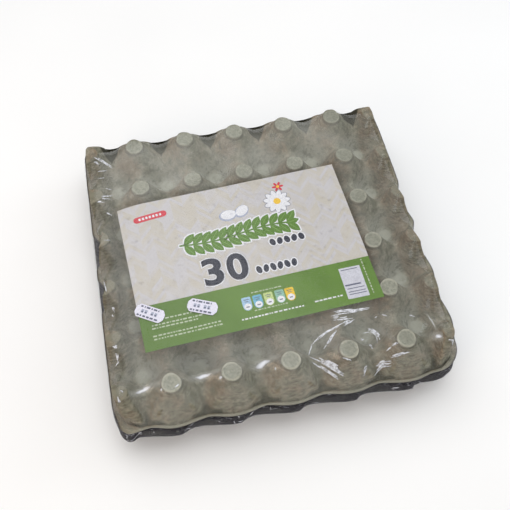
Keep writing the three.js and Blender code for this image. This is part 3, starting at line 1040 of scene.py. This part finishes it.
def baseShadeMaterial():
    # the lower tray, painted near black: painted shade, as it stands in shade under the lid's rim and the
    # film
    g = Graph("dark_pulp")
    place = g.place()
    fibres = g.noise(place, 700, 4, 0.7)
    colour = g.blend(g.range(g.noise(place, 60), 0.35, 0.65), "baseShade", "baseShadePatch")
    colour = g.blend(g.range(fibres, 0.58, 0.8, 0, 0.5), colour, "baseShadeFibre")
    return g.finish(g.paint(colour, pulpLook["baseRoughness"], Normal=g.bump(fibres, 0.6, 0.5 * mm)))


boardLook = {
    "run": 11 * mm,  # width of a column of the herringbone
    "width": 4.2 * mm,  # of one board, along the label
    "seam": 0.14,  # share of a board
    "paperRoughness": 0.5,
}


def labelMaterial():
    # pale herringbone boards, and a green band along the near edge
    g = Graph("printed_label")
    local = g.labelPlace()
    at = g.split(local)
    x, y = at["X"], at["Y"]
    column = g.math("FLOOR", g.math("DIVIDE", x, boardLook["run"]))
    inColumn = g.math("SUBTRACT", x, g.times(column, boardLook["run"]))
    side = g.math("SUBTRACT", g.times(g.math("FLOORED_MODULO", column, 2.0), 2.0), 1.0)
    board = g.math("DIVIDE", g.math("ADD", y, g.times(side, inColumn)), boardLook["width"])
    key = g.add("CombineXYZ", X=column, Y=g.math("FLOOR", board)).outputs[0]
    tint = g.add("TexWhiteNoise", {"noise_dimensions": "2D"}, Vector=key).outputs["Value"]
    colour = g.blend(g.range(tint, 0.2, 0.8), "paperWhite", "paperCream")
    seam = g.range(g.math("PINGPONG", board, 0.5), 0.0, boardLook["seam"], 0.4, 0)
    colour = g.blend(seam, colour, "paperSeam")
    colour = g.blend(g.range(g.noise(local, 160), 0.4, 0.75, 0, 0.35), colour, "paperGrain")
    green = g.blend(g.range(g.noise(local, 25, 2), 0.3, 0.7), "green", "greenPatch")
    green = g.blend(g.range(x, -75 * mm, 0, 0.6, 0), green, "greenLeft")
    colour = g.blend(g.math("LESS_THAN", y, labelLook["bandTop"]), colour, green)
    bump = g.bump(g.noise(local, 1500, 2), 0.15, 0.1 * mm)
    return g.finish(g.paint(colour, boardLook["paperRoughness"], Normal=bump))


def inkMaterial(name, colour):
    g = Graph(name)
    specks = g.noise(g.place(), 1100, 2)
    paler = [min(1.0, part * 1.25 + 0.01) for part in rgb(colour)[:3]]
    mixed = g.blend(g.range(specks, 0.35, 0.7), rgb(colour), rgb(paler))
    bump = g.bump(specks, 0.1, 0.05 * mm)
    return g.finish(g.paint(mixed, boardLook["paperRoughness"], Normal=bump))


filmTint = {
    "haze": (0.05, 0.13),  # least and most where it hangs free
    "onPaper": 0.1,  # share of the haze that is left over the label
    "nearFar": (1.1, 1.75),  # times as much haze at the near and at the far end
    "roughness": 0.12,
    "gloss": 0.03,
    "grazingGloss": 0.16,
    "highlightWobble": 0.006,
}


def filmMaterial():
    # clear shrink film: see-through with a thin haze, bright at grazing angles, finely puckered
    g = Graph("clear_film")
    place = g.place()
    normal = g.normal()
    upright = g.range(normal["Z"], -0.2, 0.55, 1, 0)
    pucker = g.times(g.noise(g.stretched(place, scale=(1, 2.6, 1)), 420, 2), 0.25)
    crumple = g.times(g.noise(g.stretched(place, scale=(1, 1, 1.5)), 230, 4, 0.7), 5.0, upright)
    relief = g.math("ADD", g.math("ADD", g.noise(place, 120, 3, 0.55), pucker), crumple)
    bump = g.bump(relief, 0.25, 0.6 * mm)
    edge = g.math("POWER", g.add("LayerWeight", Blend=0.5, Normal=bump).outputs["Facing"], 4.0)
    gloss = g.math("ADD", g.times(edge, filmTint["grazingGloss"]), filmTint["gloss"])
    gloss = g.times(gloss, g.range(upright, 0, 1, 1, 0.5))
    shineColour = g.blend(upright, "filmShine", "filmSideShine")
    shine = g.add("BsdfGlossy", Roughness=filmTint["roughness"], Color=shineColour, Normal=bump).outputs[0]
    # haze: on top only, and least where the film lies tight on the label and on the outer cups
    at, onPaper = g.split(place), g.split(g.labelPlace())
    u, v = (g.math("DIVIDE", at[axis], pitch) for axis in "XY")
    sheet = (("X", labelLook["width"] / 2 - 2 * mm), ("Y", labelLook["depth"] / 2 - 2 * mm))
    free = g.most(*(g.range(g.size(onPaper[axis]), half, half + 10 * mm, filmTint["onPaper"], 1)
                    for axis, half in sheet))
    amount = g.times(g.range(g.noise(place, 24), 0.3, 0.7, *filmTint["haze"]), free,
                     g.range(v, -2.4, 2.4, *filmTint["nearFar"]), g.range(g.size(u), 2.5, 2.8, 1, 0.35),
                     g.range(u, 1.7, 2.3, 1, 0.55), g.range(v, 2.35, 2.7, 1, 0.5),
                     g.range(normal["Z"], 0.1, 0.7))
    # painted highlights: bright streaks where the film bends between the cups, for the reflection of a lamp
    drift = g.add("VectorMath", {"operation": "SUBTRACT"}, at0=g.noise(place, 90, 2, 0.5, "Color"),
                  at1=(0.5, 0.5, 0.5)).outputs[0]
    bent = g.moved(place, drift, filmTint["highlightWobble"])
    for (x, y), (length, width), turn, strength in filmHighlights:
        seen = g.add("Mapping", {"vector_type": "TEXTURE"}, Vector=bent, Location=(x * mm, y * mm, lidTop),
                     Rotation=(0, 0, math.radians(turn)), Scale=(length * mm, width * mm, 30 * mm)).outputs[0]
        away = g.length(seen)
        amount = g.most(amount, g.range(away, 0.15, 1.15, strength, 0),
                        g.range(away, 0.8, 2.8, 0.28 * strength, 0))
    # painted glints on the wrinkled film round the sides
    sideGlints = g.range(g.noise(g.stretched(place, scale=(1, 1, 1.6)), 300, 4, 0.7), 0.56, 0.68, 0, 0.55)
    amount = g.most(amount, g.times(sideGlints, upright))
    haze = g.add("BsdfDiffuse", Color=g.blend(g.range(amount, 0.15, 0.5), "filmHaze", "filmHighlight")).outputs[0]
    base = g.add("MixShader", at0=amount, at1=g.clear(), at2=haze).outputs[0]
    return g.finish(g.add("MixShader", at0=gloss, at1=base, at2=shine).outputs[0])


def creaseMaterial():
    # gathered film: broken facets painted bright, a painted highlight, with clear gaps between them
    g = Graph("creased_film")
    broken = g.noise(g.place(), 260, 3, 0.7)
    bright = g.paint(rgb("creaseHighlight"), 0.18, Normal=g.bump(broken, 0.6, 0.8 * mm))
    shown = g.range(broken, 0.36, 0.6, 0.2, 0.85)
    return g.finish(g.add("MixShader", at0=shown, at1=g.clear(), at2=bright).outputs[0])


# painted highlights on the film's folds, in millimetres: middle, half length and half width, turn in degrees,
# strength
filmHighlights = [
    ((-121.5, -124.2), (8.5, 2.0), 10, 0.95),
    ((-72.5, -122.2), (9, 1.9), 2, 0.95),
    ((-23, -121.2), (8.5, 2.2), 10, 0.9),
    ((127.2, -125.5), (4, 2.2), -20, 0.95),
    ((125.6, -113), (12, 1.5), -75, 0.4),
    ((-95.5, -127.5), (3.2, 1.1), 22, 0.75),
    ((-107.5, -127.5), (1.1, 1.6), 0, 0.6),
    ((-59.5, -127.8), (1.2, 1.6), 0, 0.6),
    ((-13.5, -128.2), (1.2, 2.0), 0, 0.55),
    ((60, -93), (22, 6), 5, 0.16),
    ((46, -93), (5.5, 2.6), 8, 0.5),
    ((33, -108), (18, 6), 40, 0.14),
    ((30, -133), (16, 6), -40, 0.18),
    ((73, -112), (6, 3), -30, 0.25),
    ((74, -141), (16, 5), 12, 0.18),
    ((76, -138), (6, 2), 15, 0.35),
]
# gathered creases, in millimetres: width, and the places that the crease runs through
filmCreases = [
    (3.6, [(42, -91), (48.4, -90.5), (55.8, -90.8), (64.3, -90.9), (76, -90)]),
    (2.4, [(43, -95.4), (51.2, -96.4), (59.8, -96.2)]),
    (3.0, [(50, -101.2), (54.6, -99.5), (60.5, -97.4)]),
    (1.4, [(54.6, -99.5), (45.5, -102), (35.3, -104.8), (26.9, -109.3), (20.3, -114.7), (15.6, -122.4)]),
    (2.4, [(44.6, -105.3), (37.6, -110.1), (33.5, -115.5), (29.6, -119.4)]),
    (1.8, [(16.3, -122.8), (23.2, -125.5), (29.6, -129.8), (35.7, -135.3), (42.5, -140.2)]),
    (1.8, [(17.1, -126.6), (24.4, -130.3), (30.8, -135.3), (37.5, -141)]),
    (1.6, [(23.5, -124.3), (30.8, -128.4), (35.9, -133.9), (39.3, -138.4)]),
    (1.4, [(27, -127.2), (33.5, -130.1), (38.3, -133.5)]),
    (1.2, [(42.1, -130.1), (45.7, -132.2), (48.5, -133.4)]),
    (3.4, [(64.1, -110.9), (71.7, -110.4), (75.9, -114.5), (77, -119.7), (75.8, -122.6)]),
    (2.6, [(60.8, -118.4), (63.1, -117.7)]),
    (2.2, [(66.9, -121.9), (70.2, -125)]),
    (1.8, [(58.7, -142.5), (60.4, -138.9), (62.7, -136.1)]),
    (4.4, [(67.9, -140.9), (71.6, -137.9), (76.6, -135.6), (83.9, -137.1)]),
    (1.4, [(84.2, -133.7), (91.6, -134.6), (98.4, -134.5)]),
    (1.2, [(81, -128.7), (84.9, -127.7)]),
    (1.4, [(85.6, -126.4), (90.9, -126.4)]),
    (1.2, [(78.4, -100.4), (80.7, -99.7)]),
    (1.2, [(85.3, -98.6), (88.9, -100.8)]),
    (1.4, [(107.6, -104.4), (112, -105.8)]),
    (1.0, [(131.1, -127.2), (135.3, -130.4), (140, -132)]),
    (1.8, [(-138, 120), (-130, 111.5), (-122, 103)]),
    (1.4, [(-139, 114), (-134, 109)]),
    (0.9, [(-137.2, 102.2), (-127.7, 100.3)]),
    (0.9, [(-138, 93.7), (-131.3, 92.3)]),
    (1.2, [(-131.2, 79), (-126.3, 76.8)]),
    (1.6, [(-136, 70.3), (-125.4, 70.5)]),
    (1.8, [(-135.5, 68.5), (-127.8, 66.4)]),
    (1.4, [(-140.2, 65.4), (-133.2, 64)]),
    (1.2, [(-133.5, 52), (-128.5, 46.5)]),
    (1.0, [(-146, 42), (-139.5, 44.5)]),
    (2.4, [(-141.1, -82), (-138.1, -84.7)]),
    (2.6, [(-139.3, -88.5), (-138.8, -95.3)]),
    (1.6, [(-138.8, -95.3), (-142, -96.5)]),
    (1.8, [(-138.5, -44), (-136.5, -50)]),
    (1.2, [(-140, -50.5), (-138.5, -53.5)]),
    (1.6, [(-141.4, -127), (-142, -133.5)]),
    (1.2, [(-140, -122), (-138, -124.5)]),
    (0.9, [(-142.4, -20), (-141.6, -31)]),
    (0.9, [(-138.5, 22), (-132, 20.5)]),
]
creaseLook = {
    "skin": 0.06 * mm,
    "lift": 0.15 * mm,
    "step": 1.1 * mm,
    "tip": 0.25,  # share of its width that is left at its ends
    "grain": 2.2 * mm,  # length of its rough places
    "fray": 0.5,  # how rough its edges are, as a share of half its width
    "ripple": 0.6 * mm,
    "rise": (0.35, 0.6),  # height of its ridge and how much that varies, as shares of half its width
    "strand": 0.9,  # a fold has one strand for each of these millimetres of its width
    "strandWidth": (0.6, 1.2),
    "strandStart": (0, 0.45),  # shares of the fold's length
    "strandLength": (0.4, 0.75),
    "strandShift": 0.3,
    "strandWander": 0.25,
    # glints between the rims: how many on each side, and how many more round the corner before it
    "glints": {"near": (30, 14), "right": (18, 12), "far": (18, 6), "left": (22, 12)},
    "glintLength": (2.2, 6.5),
    "glintWidth": (0.45, 1.0),
    "glintSlants": (20, 60, 90, 120, 160),
    "glintLift": 0.25 * mm,
}

filmLook = {
    "cells": 168,  # faces along each side
    "bandCuts": 7,  # rows of points between the two rims
    "lift": 0.3 * mm,  # above the cup bottoms
    "sag": 1.5 * mm,  # between the cup bottoms
    "paperReach": 15 * mm,  # past the label's edge it has left the paper
    "nearFold": 132.5 * mm,  # where it leaves the top at the ends, beside a cup bottom
    "sideFold": 143.5 * mm,
    "foldIn": 9 * mm,  # the fold is drawn in by this much between two cup bottoms
    "rightFoldIn": 5 * mm,  # over the pressed half cups of the right side
    "tightBend": 3 * mm,
    "wideBend": 20 * mm,
    "cornerBend": 6 * mm,
    "rimGap": 0.35 * mm,
    "bandSag": 1.4 * mm,  # drawn in between the two rims
    "bandWrinkle": 1.4 * mm,
    "cornerRadius": 17 * mm,
    "rimLevel": 1.0 * mm,  # where it leaves the rim, below the rim's face
}


def filmTopLevel(x, y, a, b):
    # height of the film over the lid at a place; a and b run from -1 to 1 to the rim's outline
    u, v = x / pitch, y / pitch
    rimLevel = lidTop - mould["rimDrop"] - filmLook["rimLevel"]
    swell = (wave(u) - wave(v)) / 2
    rest = lidTop + filmLook["lift"] - filmLook["sag"] * (1 - smoothShare(swell, -1, 0.75))
    local = Matrix.Rotation(-labelLook["turn"], 2) @ (Vector((x, y)) - Vector(labelLook["centre"]))
    outside = max(abs(local.x) - labelLook["width"] / 2, abs(local.y) - labelLook["depth"] / 2)
    over = 1 - smoothShare(outside, -1 * mm, filmLook["paperReach"])
    rest = mix(rest, filmTop, over)
    besideEnd = (1 + wave(u)) / 2
    besideSide = (1 - wave(v)) / 2
    drop = rest - rimLevel
    outline = rimHalf + filmLook["rimGap"] + mould["rimScallop"] * sideWave(a, b)
    endFold = filmLook["nearFold"] - filmLook["foldIn"] * (1 - besideEnd)
    sideFold = filmLook["sideFold"] - filmLook["foldIn"] / 2 * (1 - besideSide)
    if x > 0:
        sideFold -= filmLook["rightFoldIn"]
    endSlope = rest - drop * (abs(y) - endFold) / (outline - endFold)
    sideSlope = rest - drop * (abs(x) - sideFold) / (outline - sideFold)
    level = softMin(rest, endSlope, mix(filmLook["wideBend"], filmLook["tightBend"], besideEnd))
    level = softMin(level, sideSlope, mix(filmLook["wideBend"], filmLook["tightBend"], besideSide))
    core = rimHalf - filmLook["cornerRadius"]
    if abs(x) > core and abs(y) > core:
        reach = math.hypot(abs(x) - core, abs(y) - core) / filmLook["cornerRadius"]
        corner = rest - drop * (reach + 0.1) / 1.1
        level = softMin(level, corner, filmLook["cornerBend"])
    return max(level - pressedDown(x, y) * share(level, rimLevel, rest), rimLevel)


def filmPlace(a, b, grow=0.0, lower=0.0):
    # where a point of the square grid lies: regular inside, on the rim's outline at the edge
    size = max(abs(a), abs(b))
    if size < 1e-6:
        return Vector((0, 0))
    x, y = a / size, b / size
    bulge = mix(sideWave(x, y), raggedWave(x, y), lower)
    half = rimHalf + filmLook["rimGap"] + grow + mould["rimScallop"] * bulge
    outline = pulled(*onRoundedSquare(x, y, half, filmLook["cornerRadius"]), wrapPull["dents"])
    regular = Vector((a, b)) * rimHalf
    return regular.lerp(outline * size, smoothShare(size, 0.86, 1.0))


def bandPlace(a, b, t, outward=0.0):
    # where the film lies between the two rims, at the share t of the way down
    high = lidTop - mould["rimDrop"] - filmLook["rimLevel"]
    inward = filmLook["bandSag"] * math.sin(math.pi * t) ** 2 * (1.3 - 0.5 * sideWave(a, b))
    wrinkle = abs(noise.noise(Vector((a * 30, b * 30, t * 3))))
    inward += filmLook["bandWrinkle"] * wrinkle * math.sin(math.pi * t)
    lower = smoothShare(t, 0.1, 0.6)
    at = filmPlace(a, b, trayLook["baseExtra"] * lower - inward + outward, lower)
    return Vector((at.x, at.y, mix(high, lidTop - high, t)))


def makeFilm():
    film = newGrid(filmLook["cells"], filmLook["cells"], 2)
    film.name = "shrink_film"
    bpy.ops.object.mode_set(mode="EDIT")
    bpy.ops.mesh.select_all(action="SELECT")
    bpy.ops.mesh.duplicate()
    bpy.ops.transform.translate(value=(0, 0, -1))
    bpy.ops.mesh.flip_normals()
    bpy.ops.mesh.select_mode(type="EDGE")
    bpy.ops.mesh.select_all(action="DESELECT")
    bpy.ops.mesh.select_non_manifold()
    bpy.ops.mesh.bridge_edge_loops(number_cuts=filmLook["bandCuts"])
    bpy.ops.object.mode_set(mode="OBJECT")
    for vertex in film.data.vertices:
        a, b, h = vertex.co
        if h > -0.001:
            at = filmPlace(a, b)
            vertex.co = (at.x, at.y, filmTopLevel(at.x, at.y, a, b))
        elif h < -0.999:
            at = filmPlace(a, b, trayLook["baseExtra"], 1)
            vertex.co = (at.x, at.y, max(0.0, lidTop - filmTopLevel(at.x, at.y, a, b)))
        else:
            vertex.co = bandPlace(a, b, -h)
    closeUp(film)
    smoothByAngle(film, 80)
    print("film", len(film.data.vertices), "points")
    return film


def alongLine(places, t):
    # the place that lies the share t of the way along a line of places
    lengths = [(b - a).length for a, b in zip(places, places[1:])]
    left = t * sum(lengths)
    for start, end, length in zip(places, places[1:], lengths):
        if left <= length:
            return start.lerp(end, left / length), (end - start).normalized()
        left -= length
    return places[-1], (places[-1] - places[-2]).normalized()


def makeCrease(width, places, seed):
    # a tent of film along a line, rough along its edges and thin at both ends
    places = [Vector(place) * mm for place in places]
    length = sum((b - a).length for a, b in zip(places, places[1:]))
    crease = newGrid(max(5, round(length / creaseLook["step"])), 4)
    for vertex in crease.data.vertices:
        t, across = vertex.co.x + 0.5, vertex.co.y * 2
        middle, run = alongLine(places, t)
        half = width * mm / 2 * mix(creaseLook["tip"], 1, math.sin(math.pi * t) ** 0.6)
        rough = noise.noise_vector(Vector((t * length / creaseLook["grain"], across * 1.3, seed)))
        aside = (across + creaseLook["fray"] * rough.x) * half
        at = middle + Vector((-run.y, run.x)) * aside + run * creaseLook["ripple"] * rough.y
        rise, change = creaseLook["rise"]
        tent = half * (1 - abs(across)) * (rise + change * rough.z)
        level = filmTopLevel(at.x, at.y, at.x / rimHalf, at.y / rimHalf)
        vertex.co = (at.x, at.y, level + creaseLook["lift"] + max(0.0, tent))
    solidify(crease, creaseLook["skin"], 1)
    return crease


def makeGlint(side, along, down, length, slant, width):
    # a fine crease on the film between the rims, painted bright by the crease material as a glint
    glint = newGrid(5, 2)
    bandHeight = lidTop - 2 * mould["rimDrop"]
    for vertex in glint.data.vertices:
        run = vertex.co.x * length
        across = vertex.co.y * width * (1 - 3 * vertex.co.x ** 2)
        aside = (run * math.cos(slant) - across * math.sin(slant)) / rimHalf
        lower = (run * math.sin(slant) + across * math.cos(slant)) / bandHeight
        place = max(-1.0, min(1.0, along + aside))
        a, b = ((place, -1), (1, place), (-place, 1), (-1, -place))[side]
        vertex.co = bandPlace(a, b, share(down + lower, 0, 1), creaseLook["glintLift"])
    solidify(glint, creaseLook["skin"], 1)
    return glint


def makeCreases():
    # each gathered fold is a bundle of fine strands, side by side
    draw = random.Random(5)
    noise.seed_set(5)  # so that the creases are as rough on each run
    shift, wander = creaseLook["strandShift"], creaseLook["strandWander"]
    creases = []
    for width, places in filmCreases:
        line = [Vector(place) * mm for place in places]
        strands = max(1, round(width / creaseLook["strand"]))
        for strand in range(strands):
            start = draw.uniform(*creaseLook["strandStart"]) if strand else 0
            end = min(1, start + draw.uniform(*creaseLook["strandLength"])) if strand else 1
            aside = (strand - (strands - 1) / 2) * width / strands + draw.uniform(-shift, shift)
            part = []
            for step in range(6):
                at, run = alongLine(line, mix(start, end, step / 5))
                part.append(at / mm + Vector((-run.y, run.x)) * (aside + draw.uniform(-wander, wander)))
            creases.append(makeCrease(draw.uniform(*creaseLook["strandWidth"]), part, 3.7 * len(creases)))
    for side, (count, atCorner) in enumerate(creaseLook["glints"].values()):
        for number in range(count + atCorner):
            along = draw.uniform(-0.97, 0.97) if number < count else draw.uniform(-1, -0.9)
            down = draw.uniform(0.12, 0.88)
            length = draw.uniform(*creaseLook["glintLength"]) * mm
            slant = draw.choice(creaseLook["glintSlants"]) + draw.uniform(-20, 20)
            width = draw.uniform(*creaseLook["glintWidth"]) * mm
            creases.append(makeGlint(side, along, down, length, math.radians(slant), width))
    joined = joinPieces(creases, "film_creases")
    smoothByAngle(joined, 25)
    print("creases", len(joined.data.vertices), "points")
    return joined


stickerLook = {
    "length": 26 * mm,
    "width": 12.5 * mm,
    "nose": 2.8 * mm,
    "flatEnd": 0.42,  # share of each end that is straight
    "thickness": 0.25 * mm,
    "cells": (26, 12),
    "endLift": 0.3 * mm,
    "places": [
        ("price_sticker_left", (-107.7 * mm, -59.5 * mm), math.radians(-31)),
        ("price_sticker_right", (-63 * mm, -62.2 * mm), math.radians(-23)),
    ],
}


def settleOnSticker(centre, turn):
    spin = Matrix.Rotation(turn, 2)

    def settle(piece, lift):
        for vertex in piece.data.vertices:
            at = spin @ vertex.co.xy + Vector(centre)
            vertex.co = (at.x, at.y, stickerLevel + vertex.co.z + lift)
    return settle


def makeSticker(name, centre, turn):
    # a rectangle with its corners cut off aslant
    sticker = newGrid(*stickerLook["cells"])
    half = Vector((stickerLook["length"] / 2, stickerLook["width"] / 2))
    spin = Matrix.Rotation(turn, 2)
    for vertex in sticker.data.vertices:
        x, y = vertex.co.x * 2, vertex.co.y * 2
        reach = half.x - stickerLook["nose"] * share(abs(y), stickerLook["flatEnd"], 1)
        at = spin @ Vector((x * reach, y * half.y)) + Vector(centre)
        vertex.co = (at.x, at.y, stickerLevel + stickerLook["endLift"] * max(0, abs(x) - 0.8))
    solidify(sticker, stickerLook["thickness"], -1)
    smoothByAngle(sticker, 40)
    sticker.name = name
    return sticker


camera = {
    "place": (-0.0820, -0.3522, 0.6425),
    "right": (0.9792, -0.2025, 0.0079),
    "up": (0.1694, 0.8394, 0.5165),
    "back": (-0.1113, -0.5044, 0.8563),
    "lens": 52.38,
}
room = {
    "wallLight": 0.16,
    "ceilingLight": 0.62,
    "floorGlow": 0.07,  # evens out the pale floor
    # each lamp's place, the height it is aimed at, its size, power and colour
    "lamps": {
        "softbox": ((-0.3, 0.5, 1.4), 0, 1.2, 5.5, (1, 1, 1)),
        "overhead": ((0.15, -0.1, 1.5), 0, 0.7, 4, (1, 1, 1)),
        "warm_lamp": ((-0.9, -0.7, 0.7), 0.05, 0.5, 2.2, (1.0, 0.78, 0.58)),
        "cool_lamp": ((1.1, 0.2, 0.8), 0.05, 0.6, 1.8, (0.80, 0.92, 1.0)),
    },
}


def makeCamera():
    data = bpy.data.cameras.new("camera")
    data.lens = camera["lens"]
    data.sensor_width = 36
    data.clip_start = 0.01
    eye = bpy.data.objects.new("camera", data)
    bpy.context.collection.objects.link(eye)
    turn = Matrix((camera["right"], camera["up"], camera["back"])).transposed().to_4x4()
    eye.matrix_world = Matrix.Translation(camera["place"]) @ turn
    bpy.context.scene.camera = eye


def makeLamp(name, place, targetHeight, size, power, colour):
    # the overhead lamp would show as a glare on the film
    data = bpy.data.lights.new(name, "AREA")
    data.shape = "SQUARE"
    data.size = size
    data.energy = power
    data.color = colour
    lamp = bpy.data.objects.new(name, data)
    bpy.context.collection.objects.link(lamp)
    turn = (Vector((0, 0, targetHeight)) - Vector(place)).to_track_quat("-Z", "Y").to_matrix().to_4x4()
    lamp.matrix_world = Matrix.Translation(place) @ turn
    lamp.visible_glossy = name != "overhead"


def makeSky():
    # soft light from above, and darker walls
    g = Graph("studio", "World")
    rise = g.split(g.add("TexCoord").outputs["Generated"])["Z"]
    light = g.range(rise, 0.05, 0.7, room["wallLight"], room["ceilingLight"])
    sky = g.finish(g.add("Background", Color=(1, 1, 1, 1), Strength=light).outputs[0])
    bpy.context.scene.world = sky


def makeStage():
    deselectAll()
    bpy.ops.mesh.primitive_plane_add(size=6, location=(0, 0, -0.4 * mm))
    floor = bpy.context.object
    floor.name = "floor"
    g = Graph("pale_floor")
    colour = g.blend(g.range(g.noise(g.place(), 3, 2), 0.3, 0.7), "floor", "floorPatch")
    floor.data.materials.append(g.finish(g.paint(colour, 0.7, Emission_Color=(1, 1, 1, 1),
                                                 Emission_Strength=room["floorGlow"])))
    makeSky()
    for name, settings in room["lamps"].items():
        makeLamp(name, *settings)
    bpy.context.scene.view_settings.view_transform = "Standard"


makeCamera()
makeStage()
print("room ready")

lid = makeTray("lid_shell", 1.0, lidTop, True)
finishPiece(lid, pulpMaterial(), "grey_pulp", "lid_tray")

base = makeTray("base_shell", 40.0, trayLook["baseLift"], False)
finishPiece(base, baseShadeMaterial(), "dark_pulp", "base_tray")

finishPiece(makeLabel(), labelMaterial(), "label_paper", "label")

printBranch()
printFlower(41.5, 45.5, 11, 12.5, "white", True)
printFlower(46.5, 61.5, 6, 5.5, "red", False)
printEgg(-6.5, 41.2, 16.8, 12.0, 4)
printEgg(6.8, 42.6, 15.2, 11.6, 38)
printNavyEggs(5, 25.6, 3.2, 6.7, 5.2, 7.4, 12)
printNavyEggs(6, 6.6, -21.5, 6.4, 4.9, 7.8, 12)
printNumber()
printTags()
printPanel()
printSmallLines()
printBadge()
layPrint("label_print", "label_paper", settleOnLabel)

stickerPaper = inkMaterial("sticker_paper", "stickerPaper")
for stickerName, stickerCentre, stickerTurn in stickerLook["places"]:
    sticker = makeSticker(stickerName + "_sheet", stickerCentre, stickerTurn)
    finishPiece(sticker, stickerPaper, "sticker_paper", stickerName)
    printSticker()
    layPrint(stickerName + "_print", "sticker_paper", settleOnSticker(stickerCentre, stickerTurn))

finishPiece(makeFilm(), filmMaterial(), "clear_film", "film_band")
finishPiece(makeCreases(), creaseMaterial(), "clear_film")
